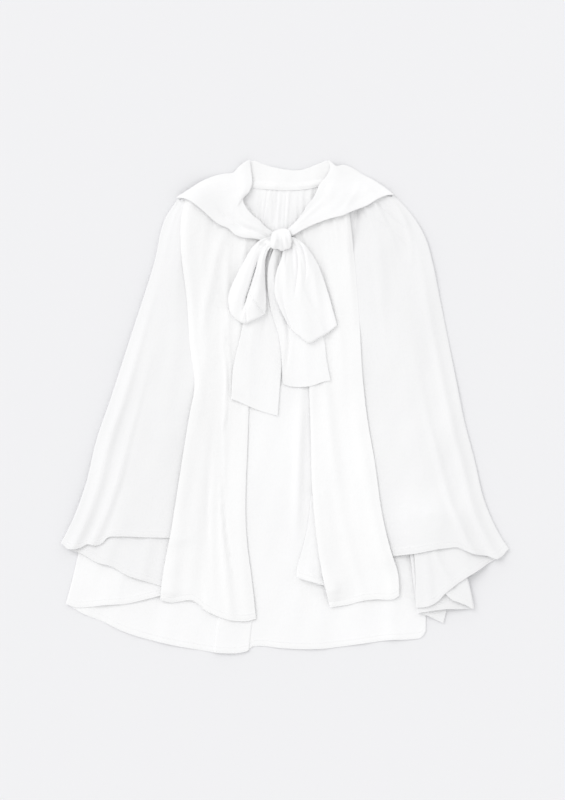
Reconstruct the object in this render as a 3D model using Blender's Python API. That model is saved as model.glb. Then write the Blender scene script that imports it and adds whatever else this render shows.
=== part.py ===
"""A child's cape with a scarf collar tied in a bow, laid flat with its front up.

The cape lies on the plane Z = 0. X runs across it, and Y from the hem to the neck. Lengths in the tables
are millimetres. A point of a table is (across, down): across is X, from the middle of the cape, and down is
measured from the top of the collar towards the hem. Every stretch of cloth is a wall that follows the
cloth it lies on, so the layers are laid one by one, from the back panel up to the knot.
"""

import math

import bmesh
import bpy
import numpy as np
from mathutils import Vector
from mathutils.bvhtree import BVHTree

MILLIMETRE = 0.001
CAPE_LENGTH = 616.0
CLOTH = 1.2
SCARF = 1.6
STAND = 2.0
SEAM_GAP = 0.8
REST_GAP = 0.5
FOLD_REACH = 3.0
ROLL_STEPS = 3
SAMPLES_A_SIDE = 5
RELAX_ROUNDS = 6

BRIGHT_CREPE = (0.93, 0.93, 0.93, 1.0)
SHEER_CREPE = (0.87, 0.87, 0.88, 1.0)
CREPE_ROUGHNESS = 0.75
SIDE_LOFT = 2.5
NECK_GATHERS = 12
NECK_GATHER_HEIGHT = 2.0
NECK_GATHER_LENGTH = 0.16
SHOULDER_COLUMNS = 7
RIGHT_SHOULDER_SPREAD = 1.4
LEFT_SHOULDER_SPREAD = 1.2
BACK_ROWS = (0, 0.03, 0.06, 0.10, 0.16, 0.24, 0.33, 0.42, 0.51, 0.60, 0.69, 0.77, 0.84, 0.90, 0.95, 0.98, 1)
BACK_HALF_COLUMNS = 6
SIDE_ROWS = 22
FRONT_LEFT_GRID = (17, 22)
FRONT_RIGHT_GRID = (15, 22)
TURNBACK_GRID = (5, 7)
STAND_GRID = (15, 5)
WING_GRID = (9, 17)
TAIL_GRID = (7, 13)
LOOP_GRID = (9, 11)
KNOT_GRID = (11, 11)
CASCADE_COLUMNS = (4, 6, 4)
CASCADE_ROWS = 9
ABOVE_ALL = 1000.0
SOFT_END = 0.4

# Back panel, from its right edge to the fold at its left edge
BACK_RIGHT = [(132, 60), (150, 200), (164, 350), (173, 480), (176, 570), (176, 589)]
BACK_LEFT = [(-131, 66), (-163, 172), (-201, 300), (-231, 400), (-258, 490), (-266, 525), (-274, 555)]
BACK_NECK = [(41, 33), (26, 35.5), (7, 37), (-24, 35.5), (-39, 34)]
BACK_TOP = [(113, 50), (76, 38), *BACK_NECK, (-74, 38), (-106, 50)]
BACK_HEM = [
    (170, 597), (158, 599), (132, 600), (94, 605), (44, 611), (-6, 610), (-30, 607.5), (-42, 608.5),
    (-47, 613), (-56, 615.5), (-81, 616), (-106, 612.5), (-156, 603), (-206, 588), (-231, 576),
    (-256, 566),
]

# The back's left edge is folded forward, and this is the edge and hem of that flap
FLAP_EDGE = [(-104, 62), (-110, 300), (-131, 425), (-143, 541)]
FLAP_TOP = [(-118, 62)]
FLAP_HEM = [(-266, 558), (-244, 558), (-226, 556), (-196, 554), (-174, 549), (-158, 545)]

# Side panels, each folded at the cape's outline into a front half and a back half
SIDE_LEFT_FOLD = [
    (-134, 49), (-149, 72), (-163, 127), (-193, 222), (-217, 296), (-236, 352), (-249, 406),
    (-264, 447), (-280, 479),
]
SIDE_LEFT_TOP = [(-118, 46)]
SIDE_LEFT_SEAM = [(-106, 44), (-106, 113), (-99, 200), (-96, 288), (-99, 363), (-112, 425), (-121, 472)]
SIDE_LEFT_FRONT_HEM = [
    (-275, 484), (-266, 485), (-256, 483), (-248, 479), (-238, 481), (-229, 478), (-222, 471),
    (-208, 470), (-181, 471), (-146, 472),
]
SIDE_LEFT_BACK_EDGE = [(-106, 46), (-106, 175), (-112, 300), (-124, 400), (-139, 500), (-143, 537)]
SIDE_LEFT_BACK_HEM = [
    (-159, 531), (-175, 526), (-197, 519), (-219, 507), (-237, 502), (-256, 491), (-272, 485),
]
SIDE_RIGHT_FOLD = [
    (137, 46), (148, 56), (164, 76), (177, 101), (184, 126), (194, 175), (214, 275), (224, 325),
    (237, 375), (249, 425), (259, 450), (272, 474), (280, 486),
]
SIDE_RIGHT_TOP = [(100, 46)]
SIDE_RIGHT_SEAM = [(63, 50), (69, 175), (76, 288), (84, 388), (101, 500)]
SIDE_RIGHT_FRONT_HEM = [
    (274, 493), (267, 497), (252, 493), (242, 492), (233, 490), (223, 486), (214, 483), (204, 484),
    (188, 486), (169, 490), (136, 495),
]
SIDE_RIGHT_BACK_EDGE = [
    (100, 46), (122, 175), (140, 300), (151, 400), (157, 463), (161, 495), (163, 530), (163, 559),
]
SIDE_RIGHT_BACK_HEM = [
    (176, 558), (189, 552), (199, 542), (207, 535), (227, 521), (244, 511), (254, 504), (266, 497),
    (274, 492),
]

# Cascade of folds between the right side panel and the back, from its lowest leg up
CASCADE_START = [(192, 450), (200, 495), (204, 538), (202, 560), (198, 579)]
CASCADE_LEFT = [(150, 450), (155, 488), (159, 519), (162, 544), (165, 566)]
CASCADE_RIGHT = [(212, 450), (221, 495), (227, 519), (232, 538), (236, 560)]
CASCADE_END = [(182, 450), (186, 463), (191, 495), (196, 519), (200, 542)]
CASCADE_LOW_HEM = [(189, 575), (178, 570)]
CASCADE_MIDDLE_HEM = [(184, 563), (202, 561), (219, 561)]
CASCADE_HIGH_HEM = [(228, 556), (219, 553), (208, 549)]

# Front panels, and the edge of the right one that is turned back under it
FRONT_LEFT_OUTER = [
    (-123, 45), (-130, 78), (-130, 106), (-122, 181), (-119, 231), (-113, 285), (-119, 319),
    (-133, 406), (-142, 463), (-152, 515), (-156, 550),
]
FRONT_LEFT_INNER = [
    (-26, 98), (-33, 131), (-39, 188), (-45, 306), (-47, 363), (-49, 413), (-49, 450), (-47, 481),
    (-42, 519), (-36, 573),
]
FRONT_LEFT_TOP = [(-100, 40), (-78, 38), (-56, 50), (-41, 68)]
FRONT_LEFT_HEM = [
    (-143, 553), (-128, 551), (-117, 550), (-108, 555), (-99, 563), (-89, 568), (-76, 573), (-61, 576),
    (-47, 576),
]
FRONT_RIGHT_OUTER = [
    (78, 48), (84, 98), (92, 188), (98, 283), (103, 325), (111, 371), (124, 456), (133, 491),
    (141, 516), (143, 544),
]
FRONT_RIGHT_INNER = [
    (9, 98), (17, 138), (28, 250), (32, 338), (34, 413), (37, 450), (41, 485), (46, 516), (56, 559),
]
FRONT_RIGHT_TOP = [(54, 40), (34, 50), (19, 73)]
FRONT_RIGHT_HEM = [(137, 548), (114, 549), (102, 550), (77, 556)]
TURNBACK_EDGE = [(33, 419), (27, 463), (21, 488), (16, 506), (14, 521)]
TURNBACK_SEAM = [(47, 419), (53, 480), (60, 535)]
TURNBACK_HEM = [(26, 525), (44, 530)]
TURNBACK_TOP = [(40, 419)]

# Scarf collar: the stand behind the neck and the two wings that run to the knot
STAND_TOP = [(-40, 1), (-28, 5), (-15, 9), (0, 12), (23, 12), (34, 8), (44, 4), (53, 1)]
STAND_LEFT = [(-47, 4), (-49, 18), (-49, 33)]
STAND_RIGHT = [(58, 4), (58, 18), (57, 32)]
COLLAR_LEFT_INNER = [
    (-44, 0), (-42, 15), (-41, 30), (-44, 39), (-52, 50), (-49, 59), (-42, 68), (-33, 75), (-24, 84),
    (-10, 94),
]
COLLAR_LEFT_OUTER = [
    (-136, 48), (-127, 49), (-103, 64), (-92, 74), (-81, 82), (-71, 86), (-62, 94), (-51, 98),
    (-38, 99), (-27, 102), (-10, 108),
]
COLLAR_LEFT_BACK = [(-52, 4), (-59, 10), (-65, 16), (-76, 17), (-91, 21), (-106, 28), (-118, 36)]
COLLAR_RIGHT_INNER = [
    (54, 0), (56, 11), (52, 20), (43, 31), (37, 45), (29, 56), (21, 68), (13, 78), (-4, 92),
]
COLLAR_RIGHT_OUTER = [
    (136, 44), (127, 45), (117, 49), (102, 58), (84, 65), (73, 70), (57, 74), (42, 79), (26, 86),
    (-3, 103),
]
COLLAR_RIGHT_BACK = [(59, 4), (65, 8), (71, 6), (82, 9), (97, 18), (112, 26), (124, 34)]

# Bow: two tails, two loops and the knot
TAIL_LEFT_OUTER = [
    (-13, 106), (-28, 144), (-41, 181), (-51, 200), (-56, 222), (-60, 238), (-65, 263), (-67, 299),
]
TAIL_LEFT_INNER = [(-3, 106), (-5, 144), (-6, 181), (-5, 225), (-4, 260), (-6, 281), (-9, 320)]
TAIL_LEFT_TOP = [(-8, 105)]
TAIL_LEFT_HEM = [(-56, 303), (-43, 309), (-27, 315)]
TAIL_RIGHT_LEFT_SIDE = [
    (-12, 106), (-22, 131), (-22, 163), (-19, 184), (-13, 203), (-8, 220), (-5, 240), (-3, 280),
]
TAIL_RIGHT_RIGHT_SIDE = [(2, 106), (14, 144), (28, 181), (42, 206), (49, 225), (52, 250), (57, 276)]
TAIL_RIGHT_TOP = [(-5, 105)]
TAIL_RIGHT_HEM = [(6, 283), (19, 284), (31, 283), (50, 277)]
LOOP_LEFT_ROOT = [(-19, 97), (-14, 101), (-12, 107)]
LOOP_LEFT_END = [(-70, 187), (-66, 195), (-59, 201), (-50, 205), (-40, 201), (-31, 197), (-24, 192)]
LOOP_LEFT_OUTER = [(-29, 100), (-36, 105), (-44, 115), (-52, 129), (-60, 144), (-66, 156), (-71, 174)]
LOOP_LEFT_INNER = [(-20, 113), (-24, 124), (-25, 140), (-24, 162), (-23, 178)]
LOOP_RIGHT_ROOT = [(-2, 111), (3, 105), (3, 97)]
LOOP_RIGHT_END = [(0, 193), (7, 208), (18, 220), (30, 228), (42, 223), (54, 216), (65, 207)]
LOOP_RIGHT_OUTER = [(12, 98), (22, 104), (32, 116), (40, 129), (47, 146), (53, 164), (58, 181)]
LOOP_RIGHT_INNER = [(-5, 125), (-10, 138), (-13, 155), (-13, 168), (-8, 181)]
KNOT_LEFT = [(-18, 95), (-20, 104), (-16, 113)]
KNOT_RIGHT = [(8, 90), (12, 100), (8, 112)]
KNOT_TOP = [(-12, 91), (-1, 89)]
KNOT_HEM = [(-8, 117), (1, 117)]
LOOP_LEFT_HEIGHT = 6.0
LOOP_RIGHT_HEIGHT = 7.0
LOOP_ROOT_HEIGHT = 0.15
LOOP_SIDE_DROOP = 0.5
KNOT_HEIGHT = 6.0
KNOT_EDGE = 2.0

# Folds: where each crosses the top and the hem of its panel, as shares of the panel's width, where it
# starts and ends, as shares of the panel's length, and its width and height. A loop's top is at the knot.
FOLD_COLUMNS = ("at_top", "at_hem", "start", "end", "width", "height")
BACK_FOLDS = [
    (0.54, 0.536, 0.80, 1.4, 14, 1.5),
]
FRONT_LEFT_FOLDS = [
    (0.08, 0.12, -0.3, 0.8, 9, 2.5),
    (0.30, 0.33, -0.3, 0.7, 9, 3.0),
    (0.46, 0.52, -0.3, 1.4, 10, 3.0),
    (0.62, 0.70, -0.3, 0.6, 8, 2.5),
    (0.80, 0.90, 0.1, 1.4, 9, 2.5),
]
FRONT_RIGHT_FOLDS = [
    (0.15, 0.10, 0.1, 1.4, 9, 2.5),
    (0.38, 0.30, -0.3, 0.6, 8, 2.5),
    (0.60, 0.50, -0.3, 0.7, 9, 3.0),
    (0.74, 0.68, -0.3, 0.5, 8, 3.0),
    (0.92, 0.90, -0.3, 1.4, 8, 2.5),
]
SIDE_LEFT_FOLDS = [
    (0.15, 0.11, 0.1, 1.4, 8, 4.0),
    (0.35, 0.25, 0.4, 1.4, 7, 3.0),
    (0.45, 0.75, -0.2, 0.5, 9, 2.0),
]
SIDE_RIGHT_FOLDS = [
    (0.15, 0.09, 0.1, 1.4, 8, 4.0),
    (0.40, 0.25, 0.4, 1.4, 8, 3.5),
    (0.25, 0.55, -0.2, 0.5, 10, 2.5),
    (0.50, 0.80, -0.2, 0.4, 9, 2.0),
]
COLLAR_LEFT_FOLDS = [
    (0.10, 0.30, -0.4, 0.5, 9, 2.5),
    (0.55, 0.55, 0.2, 1.3, 8, 2.0),
    (0.85, 0.80, 0.2, 1.3, 7, 2.0),
]
COLLAR_RIGHT_FOLDS = [
    (0.10, 0.30, -0.4, 0.5, 9, 2.0),
    (0.70, 0.65, 0.2, 1.3, 9, 1.5),
]
TAIL_LEFT_FOLDS = [(0.35, 0.20, -0.2, 0.8, 7, 1.5)]
TAIL_RIGHT_FOLDS = [(0.45, 0.30, -0.2, 0.9, 7, 2.0)]
LOOP_LEFT_FOLDS = [
    (0.25, 0.20, -0.3, 1.4, 7, 2.5),
    (0.78, 0.72, -0.3, 1.4, 8, 2.5),
]
LOOP_RIGHT_FOLDS = [
    (0.20, 0.20, -0.3, 0.7, 7, 2.5),
    (0.52, 0.50, -0.3, 0.8, 6, 2.5),
    (0.86, 0.82, -0.3, 0.8, 7, 2.5),
]


def clear_scene():
    """Removes whatever the file opened with."""
    for thing in list(bpy.data.objects):
        bpy.data.objects.remove(thing)


def chord_shares(points):
    """The share of a table's length at which each of its points lies."""
    steps = np.linalg.norm(np.diff(points, axis=0), axis=1)
    travelled = np.concatenate([[0.0], np.cumsum(steps)])
    return travelled / travelled[-1]


def smooth_curve(points, shares):
    """Points on the smooth curve through a table's points, at the given shares of its length."""
    points = np.asarray(points, float)
    knots = chord_shares(points)
    slopes = np.gradient(points, knots, axis=0)
    shares = np.clip(np.asarray(shares, float), 0.0, 1.0)
    piece = np.clip(np.searchsorted(knots, shares, side="right") - 1, 0, len(knots) - 2)
    span = (knots[piece + 1] - knots[piece])[:, None]
    part = ((shares - knots[piece])[:, None]) / span
    return (
        (2 * part**3 - 3 * part**2 + 1) * points[piece]
        + (part**3 - 2 * part**2 + part) * span * slopes[piece]
        + (3 * part**2 - 2 * part**3) * points[piece + 1]
        + (part**3 - part**2) * span * slopes[piece + 1]
    )


def patch(start, end, top, hem, across, down):
    """A panel's plan, as rows of (across, down) points between its four edges.

    top and hem run from the start edge to the end edge, and hold only the points between the corners.
    """
    top = [start[0], *top, end[0]]
    hem = [start[-1], *hem, end[-1]]
    first, last = smooth_curve(start, down)[:, None], smooth_curve(end, down)[:, None]
    upper, lower = smooth_curve(top, across)[None], smooth_curve(hem, across)[None]
    s, v = np.asarray(across)[None, :, None], np.asarray(down)[:, None, None]
    corners = (
        (1 - s) * (1 - v) * np.asarray(start[0])
        + s * (1 - v) * np.asarray(end[0])
        + (1 - s) * v * np.asarray(start[-1])
        + s * v * np.asarray(end[-1])
    )
    return (1 - s) * first + s * last + (1 - v) * upper + v * lower - corners


def fade(value):
    """A soft step from 0 to 1."""
    value = np.clip(value, 0.0, 1.0)
    return value * value * (3 - 2 * value)


def fold_heights(plan, across, down, folds):
    """How far a table's folds lift each point of a panel."""
    widths = np.linalg.norm(plan[:, -1] - plan[:, 0], axis=1)[:, None]
    s, v = np.asarray(across)[None, :], np.asarray(down)[:, None]
    lift = np.zeros(plan.shape[:2])
    for row in folds:
        fold = dict(zip(FOLD_COLUMNS, row))
        middle = fold["at_top"] + (fold["at_hem"] - fold["at_top"]) * v
        beside = (s - middle) * widths / fold["width"]
        soft_end = SOFT_END * (fold["end"] - fold["start"])
        present = fade((v - fold["start"]) / soft_end) * fade((fold["end"] - v) / soft_end)
        lift = np.maximum(lift, fold["height"] * present * np.exp(-beside * beside))
    return lift


class Pile:
    """The cloth that has been laid so far."""

    def __init__(self):
        self.surfaces = []

    def add(self, grid):
        """Adds one surface, a grid of points in millimetres."""
        rows, columns = grid.shape[:2]
        corners = [
            (r * columns + c, r * columns + c + 1, (r + 1) * columns + c + 1, (r + 1) * columns + c)
            for r in range(rows - 1)
            for c in range(columns - 1)
        ]
        self.surfaces.append(BVHTree.FromPolygons([Vector(p) for p in grid.reshape(-1, 3)], corners))

    def height(self, point):
        """The top of the pile at one point of the plan, or None over the bare floor."""
        above = Vector((point[0], point[1], ABOVE_ALL))
        hits = [surface.ray_cast(above, Vector((0, 0, -1)))[0] for surface in self.surfaces]
        found = [hit.z for hit in hits if hit is not None]
        return max(found) if found else None

    def under(self, plan, gap=REST_GAP):
        """How high the underside of a sheet has to be at each point of its plan to clear the pile."""
        rows, columns = plan.shape[:2]
        needed = np.zeros((rows, columns))
        steps = np.linspace(0.0, 1.0, SAMPLES_A_SIDE)
        for r in range(rows - 1):
            for c in range(columns - 1):
                a, b, d, e = plan[r, c], plan[r, c + 1], plan[r + 1, c], plan[r + 1, c + 1]
                found = [
                    self.height((1 - q) * ((1 - p) * a + p * b) + q * ((1 - p) * d + p * e))
                    for p in steps
                    for q in steps
                ]
                highest = max([z + gap for z in found if z is not None], default=0.0)
                corner = needed[r : r + 2, c : c + 2]
                np.maximum(corner, highest, out=corner)
        return relaxed(needed)


def relaxed(needed):
    """The lowest soft surface that stays at or above the needed heights."""
    height = needed.copy()
    for _ in range(RELAX_ROUNDS):
        wide = np.pad(height, 1, mode="edge")
        mean = (wide[:-2, 1:-1] + wide[2:, 1:-1] + wide[1:-1, :-2] + wide[1:-1, 2:]) / 4
        height = np.maximum(needed, mean)
    return height


def plan_to_floor(plan):
    """Turns (across, down) points into X and Y, with the origin at the middle of the cape."""
    return np.stack([plan[..., 0], CAPE_LENGTH / 2 - plan[..., 1]], axis=-1)


def drawn_in(plan, across, at_end):
    """Draws a plan's first or last column in, to leave room for the round of a fold."""
    edge, inside = (plan[:, -1], plan[:, -2]) if at_end else (plan[:, 0], plan[:, 1])
    along = np.gradient(edge, axis=0)
    inward = np.stack([along[:, 1], -along[:, 0]], axis=1)
    inward /= np.linalg.norm(inward, axis=1, keepdims=True)
    inward *= np.sign(np.sum(inward * (inside - edge), axis=1, keepdims=True))
    share = np.asarray(across) if at_end else 1 - np.asarray(across)
    return plan + inward[:, None] * (FOLD_REACH * share**2)[None, :, None]


def lay_leg(pile, plan, thickness, lift=0.0):
    """Lays one stretch of cloth on the pile and returns its middle surface, in rows of points."""
    floor = plan_to_floor(plan)
    height = pile.under(floor) + thickness / 2 + lift
    return np.concatenate([floor, height[..., None]], axis=-1)


def surface_normals(middle):
    """Unit normals of a grid of points."""
    along_rows = np.gradient(middle, axis=0)
    along_columns = np.gradient(middle, axis=1)
    normals = np.cross(along_rows, along_columns)
    return normals / np.linalg.norm(normals, axis=2, keepdims=True)


def roll(lower, upper, thickness):
    """The columns of points that turn over from the end of the lower leg to the start of the upper one."""
    edge = (lower[:, -1] + upper[:, 0]) / 2
    along = np.gradient(edge, axis=0)
    outward = np.stack([along[:, 1], -along[:, 0], np.zeros(len(edge))], axis=1)
    outward /= np.linalg.norm(outward, axis=1, keepdims=True)
    outward *= np.sign(np.sum(outward * (lower[:, -1] - lower[:, -2]), axis=1, keepdims=True))
    rise = (upper[:, 0, 2] - lower[:, -1, 2]) / 2
    turns = [math.pi * (step + 1) / (ROLL_STEPS + 1) for step in range(ROLL_STEPS)]
    reach = FOLD_REACH - thickness / 2
    return np.stack([edge + outward * reach * math.sin(t) - upward(rise * math.cos(t)) for t in turns], axis=1)


def upward(heights):
    """Heights as steps along the Z axis."""
    return np.stack([np.zeros_like(heights), np.zeros_like(heights), heights], axis=-1)


def wall(name, outer, inner, colour):
    """A closed solid between two grids of points, with its origin on the floor under its middle."""
    rows, columns = outer.shape[:2]
    middle = [*outer.reshape(-1, 3)[:, :2].mean(axis=0).round(), 0.0]
    outer, inner = outer - middle, inner - middle
    shape = bmesh.new()
    front = [[shape.verts.new(outer[r, c] * MILLIMETRE) for c in range(columns)] for r in range(rows)]
    back = [[shape.verts.new(inner[r, c] * MILLIMETRE) for c in range(columns)] for r in range(rows)]
    for r in range(rows - 1):
        for c in range(columns - 1):
            shape.faces.new((front[r][c], front[r][c + 1], front[r + 1][c + 1], front[r + 1][c]))
            shape.faces.new((back[r][c], back[r + 1][c], back[r + 1][c + 1], back[r][c + 1]))
    rim = [(0, c) for c in range(columns)]
    rim += [(r, columns - 1) for r in range(1, rows)]
    rim += [(rows - 1, c) for c in range(columns - 2, -1, -1)]
    rim += [(r, 0) for r in range(rows - 2, 0, -1)]
    for (r, c), (r2, c2) in zip(rim, rim[1:] + rim[:1]):
        shape.faces.new((front[r][c], back[r][c], back[r2][c2], front[r2][c2]))
    bmesh.ops.recalc_face_normals(shape, faces=shape.faces)
    mesh = bpy.data.meshes.new(name)
    shape.to_mesh(mesh)
    shape.free()
    mesh.materials.append(crepe(name, colour))
    mesh.shade_smooth()
    thing = bpy.data.objects.new(name, mesh)
    thing.location = Vector(middle) * MILLIMETRE
    thing.parent = garment
    bpy.context.scene.collection.objects.link(thing)


def sheet(pile, name, middle, thickness, colour, raised=None):
    """A wall of even thickness about a middle surface, which then lies on the pile.

    raised lifts the upper face alone, over a plain underside.
    """
    normals = surface_normals(middle)
    outer = middle + normals * thickness / 2
    inner = middle - normals * thickness / 2
    if raised is not None:
        outer = outer + upward(np.where(normals[..., 2] > 0, raised, 0.0))
        inner = inner + upward(np.where(normals[..., 2] > 0, 0.0, raised))
    wall(name, outer, inner, colour)
    pile.add(outer)
    pile.add(inner)


def crepe(name, colour):
    """White crepe for one piece."""
    material = bpy.data.materials.new(name + "_crepe")
    material.use_nodes = True
    shader = material.node_tree.nodes["Principled BSDF"]
    shader.inputs["Base Color"].default_value = colour
    shader.inputs["Roughness"].default_value = CREPE_ROUGHNESS
    shader.inputs["Metallic"].default_value = 0.0
    return material


def shares(count):
    """Even shares from 0 to 1."""
    return np.linspace(0.0, 1.0, count)


def back_shares():
    """Columns of the back panel: wide ones at the shoulders, and two for every gather at the neck."""
    along = chord_shares(np.array([BACK_RIGHT[0], *BACK_TOP, BACK_LEFT[0]], float))
    first = along[1 + BACK_TOP.index(BACK_NECK[0])]
    last = along[1 + BACK_TOP.index(BACK_NECK[-1])]
    right = first * shares(SHOULDER_COLUMNS + 1)[:-1] ** RIGHT_SHOULDER_SPREAD
    left = 1 - (1 - last) * shares(SHOULDER_COLUMNS + 1)[::-1][1:] ** LEFT_SHOULDER_SPREAD
    return np.concatenate([right, np.linspace(first, last, 2 * NECK_GATHERS + 1), left])


def neck_gathers(rows, columns):
    """How far the gathers below the stand raise the back panel's upper face."""
    raised = np.zeros((len(rows), len(columns)))
    peaks = SHOULDER_COLUMNS + 1 + 2 * np.arange(NECK_GATHERS)
    raised[:, peaks] = (NECK_GATHER_HEIGHT * fade(1 - rows / NECK_GATHER_LENGTH))[:, None]
    return raised


def lay_folded(pile, legs, rows, thickness):
    """The middle surface of a sheet that is folded between its legs, each laid on the one before.

    A leg is its four edges, its columns, and how far it is lifted off what it lies on.
    """
    resting = Pile()
    resting.surfaces = list(pile.surfaces)
    parts = []
    for number, (edges, columns, lift) in enumerate(legs):
        plan = patch(*edges, columns, rows)
        if number > 0:
            plan = drawn_in(plan, columns, at_end=False)
        if number < len(legs) - 1:
            plan = drawn_in(plan, columns, at_end=True)
        leg = lay_leg(resting, plan, thickness, lift)
        if parts:
            parts.append(roll(parts[-1], leg, thickness))
        parts.append(leg)
        resting.add(leg + [0, 0, thickness / 2])
    return np.concatenate(parts, axis=1)


def lay_back(pile, colour):
    """The gathered back panel, with its left edge folded forward over it."""
    rows = np.array(BACK_ROWS)
    columns = back_shares()
    edges = (BACK_RIGHT, BACK_LEFT, BACK_TOP, BACK_HEM)
    plan = patch(*edges, columns, rows)
    raised = neck_gathers(rows, columns) + fold_heights(plan, columns, rows, BACK_FOLDS)
    flap = (BACK_LEFT, FLAP_EDGE, FLAP_TOP, FLAP_HEM)
    legs = [(edges, columns, 0.0), (flap, shares(BACK_HALF_COLUMNS), 0.0)]
    whole = lay_folded(pile, legs, rows, CLOTH)
    raised = np.pad(raised, ((0, 0), (0, whole.shape[1] - raised.shape[1])))
    sheet(pile, "back", whole, CLOTH, colour, raised)


def lay_side(pile, name, back_half, front_half, folds, colour):
    """A side panel, folded at the outline into a back half and a front half.

    Its front columns lie closer together over the rolls at the outline.
    """
    rows = shares(SIDE_ROWS)
    columns = np.concatenate([shares(17)[:9], shares(9)[5:]])
    folded = fold_heights(patch(*front_half, columns, rows), columns, rows, folds)
    ends = (fade(3 * rows) * fade(3 * (1 - rows)))[:, None]
    loft = SIDE_LOFT * np.sin(math.pi * columns)[None, :] * ends
    legs = [(back_half, shares(BACK_HALF_COLUMNS), 0.0), (front_half, columns, folded + loft)]
    sheet(pile, name, lay_folded(pile, legs, rows, CLOTH), CLOTH, colour)


def lay_flat(pile, name, edges, grid, thickness, folds, colour):
    """A stretch of cloth without a turned edge."""
    across, down = shares(grid[0]), shares(grid[1])
    plan = patch(*edges, across, down)
    middle = lay_leg(pile, plan, thickness, fold_heights(plan, across, down, folds))
    sheet(pile, name, middle, thickness, colour)


def lay_loop(pile, name, edges, height, folds, colour):
    """A bow loop: the scarf runs out from the knot, turns over at the loop's end and comes back."""
    columns, rows = shares(LOOP_GRID[0]), shares(LOOP_GRID[1])
    plan = drawn_in(patch(*edges, columns, rows), columns, at_end=True)
    lower = lay_leg(pile, plan, SCARF)
    arch = height * np.sin(math.pi * (LOOP_ROOT_HEIGHT + (1 - LOOP_ROOT_HEIGHT) * columns))[None, :]
    bulge = (1 - LOOP_SIDE_DROOP * (2 * rows - 1) ** 2)[:, None]
    lift = SCARF + 2 * REST_GAP + arch * bulge + fold_heights(plan.swapaxes(0, 1), rows, columns, folds).T
    upper = (lower + upward(lift))[:, ::-1]
    sheet(pile, name, np.concatenate([lower, roll(lower, upper, SCARF), upper], axis=1), SCARF, colour)


def lay_knot(pile, colour):
    """The knot: a rounded bundle of the scarf over the ends of the wings, loops and tails."""
    across, down = shares(KNOT_GRID[0]), shares(KNOT_GRID[1])
    floor = plan_to_floor(patch(KNOT_LEFT, KNOT_RIGHT, KNOT_TOP, KNOT_HEM, across, down))
    under = pile.under(floor)
    s, v = 2 * across[None, :] - 1, 2 * down[:, None] - 1
    dome = KNOT_EDGE + KNOT_HEIGHT * np.sqrt(np.clip((1 - s**2) * (1 - v**2), 0, 1))
    lower = np.concatenate([floor, under[..., None]], axis=-1)
    wall("knot", lower + upward(dome), lower, colour)


clear_scene()
garment = bpy.data.objects.new("garment", None)
bpy.context.scene.collection.objects.link(garment)
cape = Pile()

lay_back(cape, SHEER_CREPE)
lay_side(
    cape,
    "side_left",
    (SIDE_LEFT_BACK_EDGE, SIDE_LEFT_FOLD, [], SIDE_LEFT_BACK_HEM),
    (SIDE_LEFT_FOLD, SIDE_LEFT_SEAM, SIDE_LEFT_TOP, SIDE_LEFT_FRONT_HEM),
    SIDE_LEFT_FOLDS,
    SHEER_CREPE,
)
cascade_edges = [
    (CASCADE_START, CASCADE_LEFT, [], CASCADE_LOW_HEM),
    (CASCADE_LEFT, CASCADE_RIGHT, [], CASCADE_MIDDLE_HEM),
    (CASCADE_RIGHT, CASCADE_END, [], CASCADE_HIGH_HEM),
]
cascade_legs = [(edges, shares(columns), 0.0) for edges, columns in zip(cascade_edges, CASCADE_COLUMNS)]
cascade = lay_folded(cape, cascade_legs, shares(CASCADE_ROWS), CLOTH)
sheet(cape, "side_right_cascade", cascade, CLOTH, SHEER_CREPE)
lay_side(
    cape,
    "side_right",
    (SIDE_RIGHT_BACK_EDGE, SIDE_RIGHT_FOLD, [], SIDE_RIGHT_BACK_HEM),
    (SIDE_RIGHT_FOLD, SIDE_RIGHT_SEAM, SIDE_RIGHT_TOP, SIDE_RIGHT_FRONT_HEM),
    SIDE_RIGHT_FOLDS,
    SHEER_CREPE,
)
lay_flat(
    cape,
    "front_left",
    (FRONT_LEFT_OUTER, FRONT_LEFT_INNER, FRONT_LEFT_TOP, FRONT_LEFT_HEM),
    FRONT_LEFT_GRID, CLOTH, FRONT_LEFT_FOLDS, BRIGHT_CREPE,
)
lay_flat(
    cape,
    "front_right_turnback",
    (TURNBACK_EDGE, TURNBACK_SEAM, TURNBACK_TOP, TURNBACK_HEM),
    TURNBACK_GRID, CLOTH, (), SHEER_CREPE,
)
lay_flat(
    cape,
    "front_right",
    (FRONT_RIGHT_OUTER, FRONT_RIGHT_INNER, FRONT_RIGHT_TOP, FRONT_RIGHT_HEM),
    FRONT_RIGHT_GRID, CLOTH, FRONT_RIGHT_FOLDS, BRIGHT_CREPE,
)
stand_foot = [(x, y - SEAM_GAP) for x, y in reversed(BACK_NECK)]
lay_flat(
    cape,
    "collar_stand",
    (STAND_LEFT, STAND_RIGHT, STAND_TOP, stand_foot),
    STAND_GRID, STAND, (), BRIGHT_CREPE,
)
lay_flat(
    cape,
    "collar_left",
    (COLLAR_LEFT_INNER, COLLAR_LEFT_OUTER, COLLAR_LEFT_BACK, ()),
    WING_GRID, SCARF, COLLAR_LEFT_FOLDS, BRIGHT_CREPE,
)
lay_flat(
    cape,
    "collar_right",
    (COLLAR_RIGHT_INNER, COLLAR_RIGHT_OUTER, COLLAR_RIGHT_BACK, ()),
    WING_GRID, SCARF, COLLAR_RIGHT_FOLDS, BRIGHT_CREPE,
)
lay_flat(
    cape,
    "tail_left",
    (TAIL_LEFT_OUTER, TAIL_LEFT_INNER, TAIL_LEFT_TOP, TAIL_LEFT_HEM),
    TAIL_GRID, SCARF, TAIL_LEFT_FOLDS, BRIGHT_CREPE,
)
lay_flat(
    cape,
    "tail_right",
    (TAIL_RIGHT_LEFT_SIDE, TAIL_RIGHT_RIGHT_SIDE, TAIL_RIGHT_TOP, TAIL_RIGHT_HEM),
    TAIL_GRID, SCARF, TAIL_RIGHT_FOLDS, BRIGHT_CREPE,
)
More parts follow.
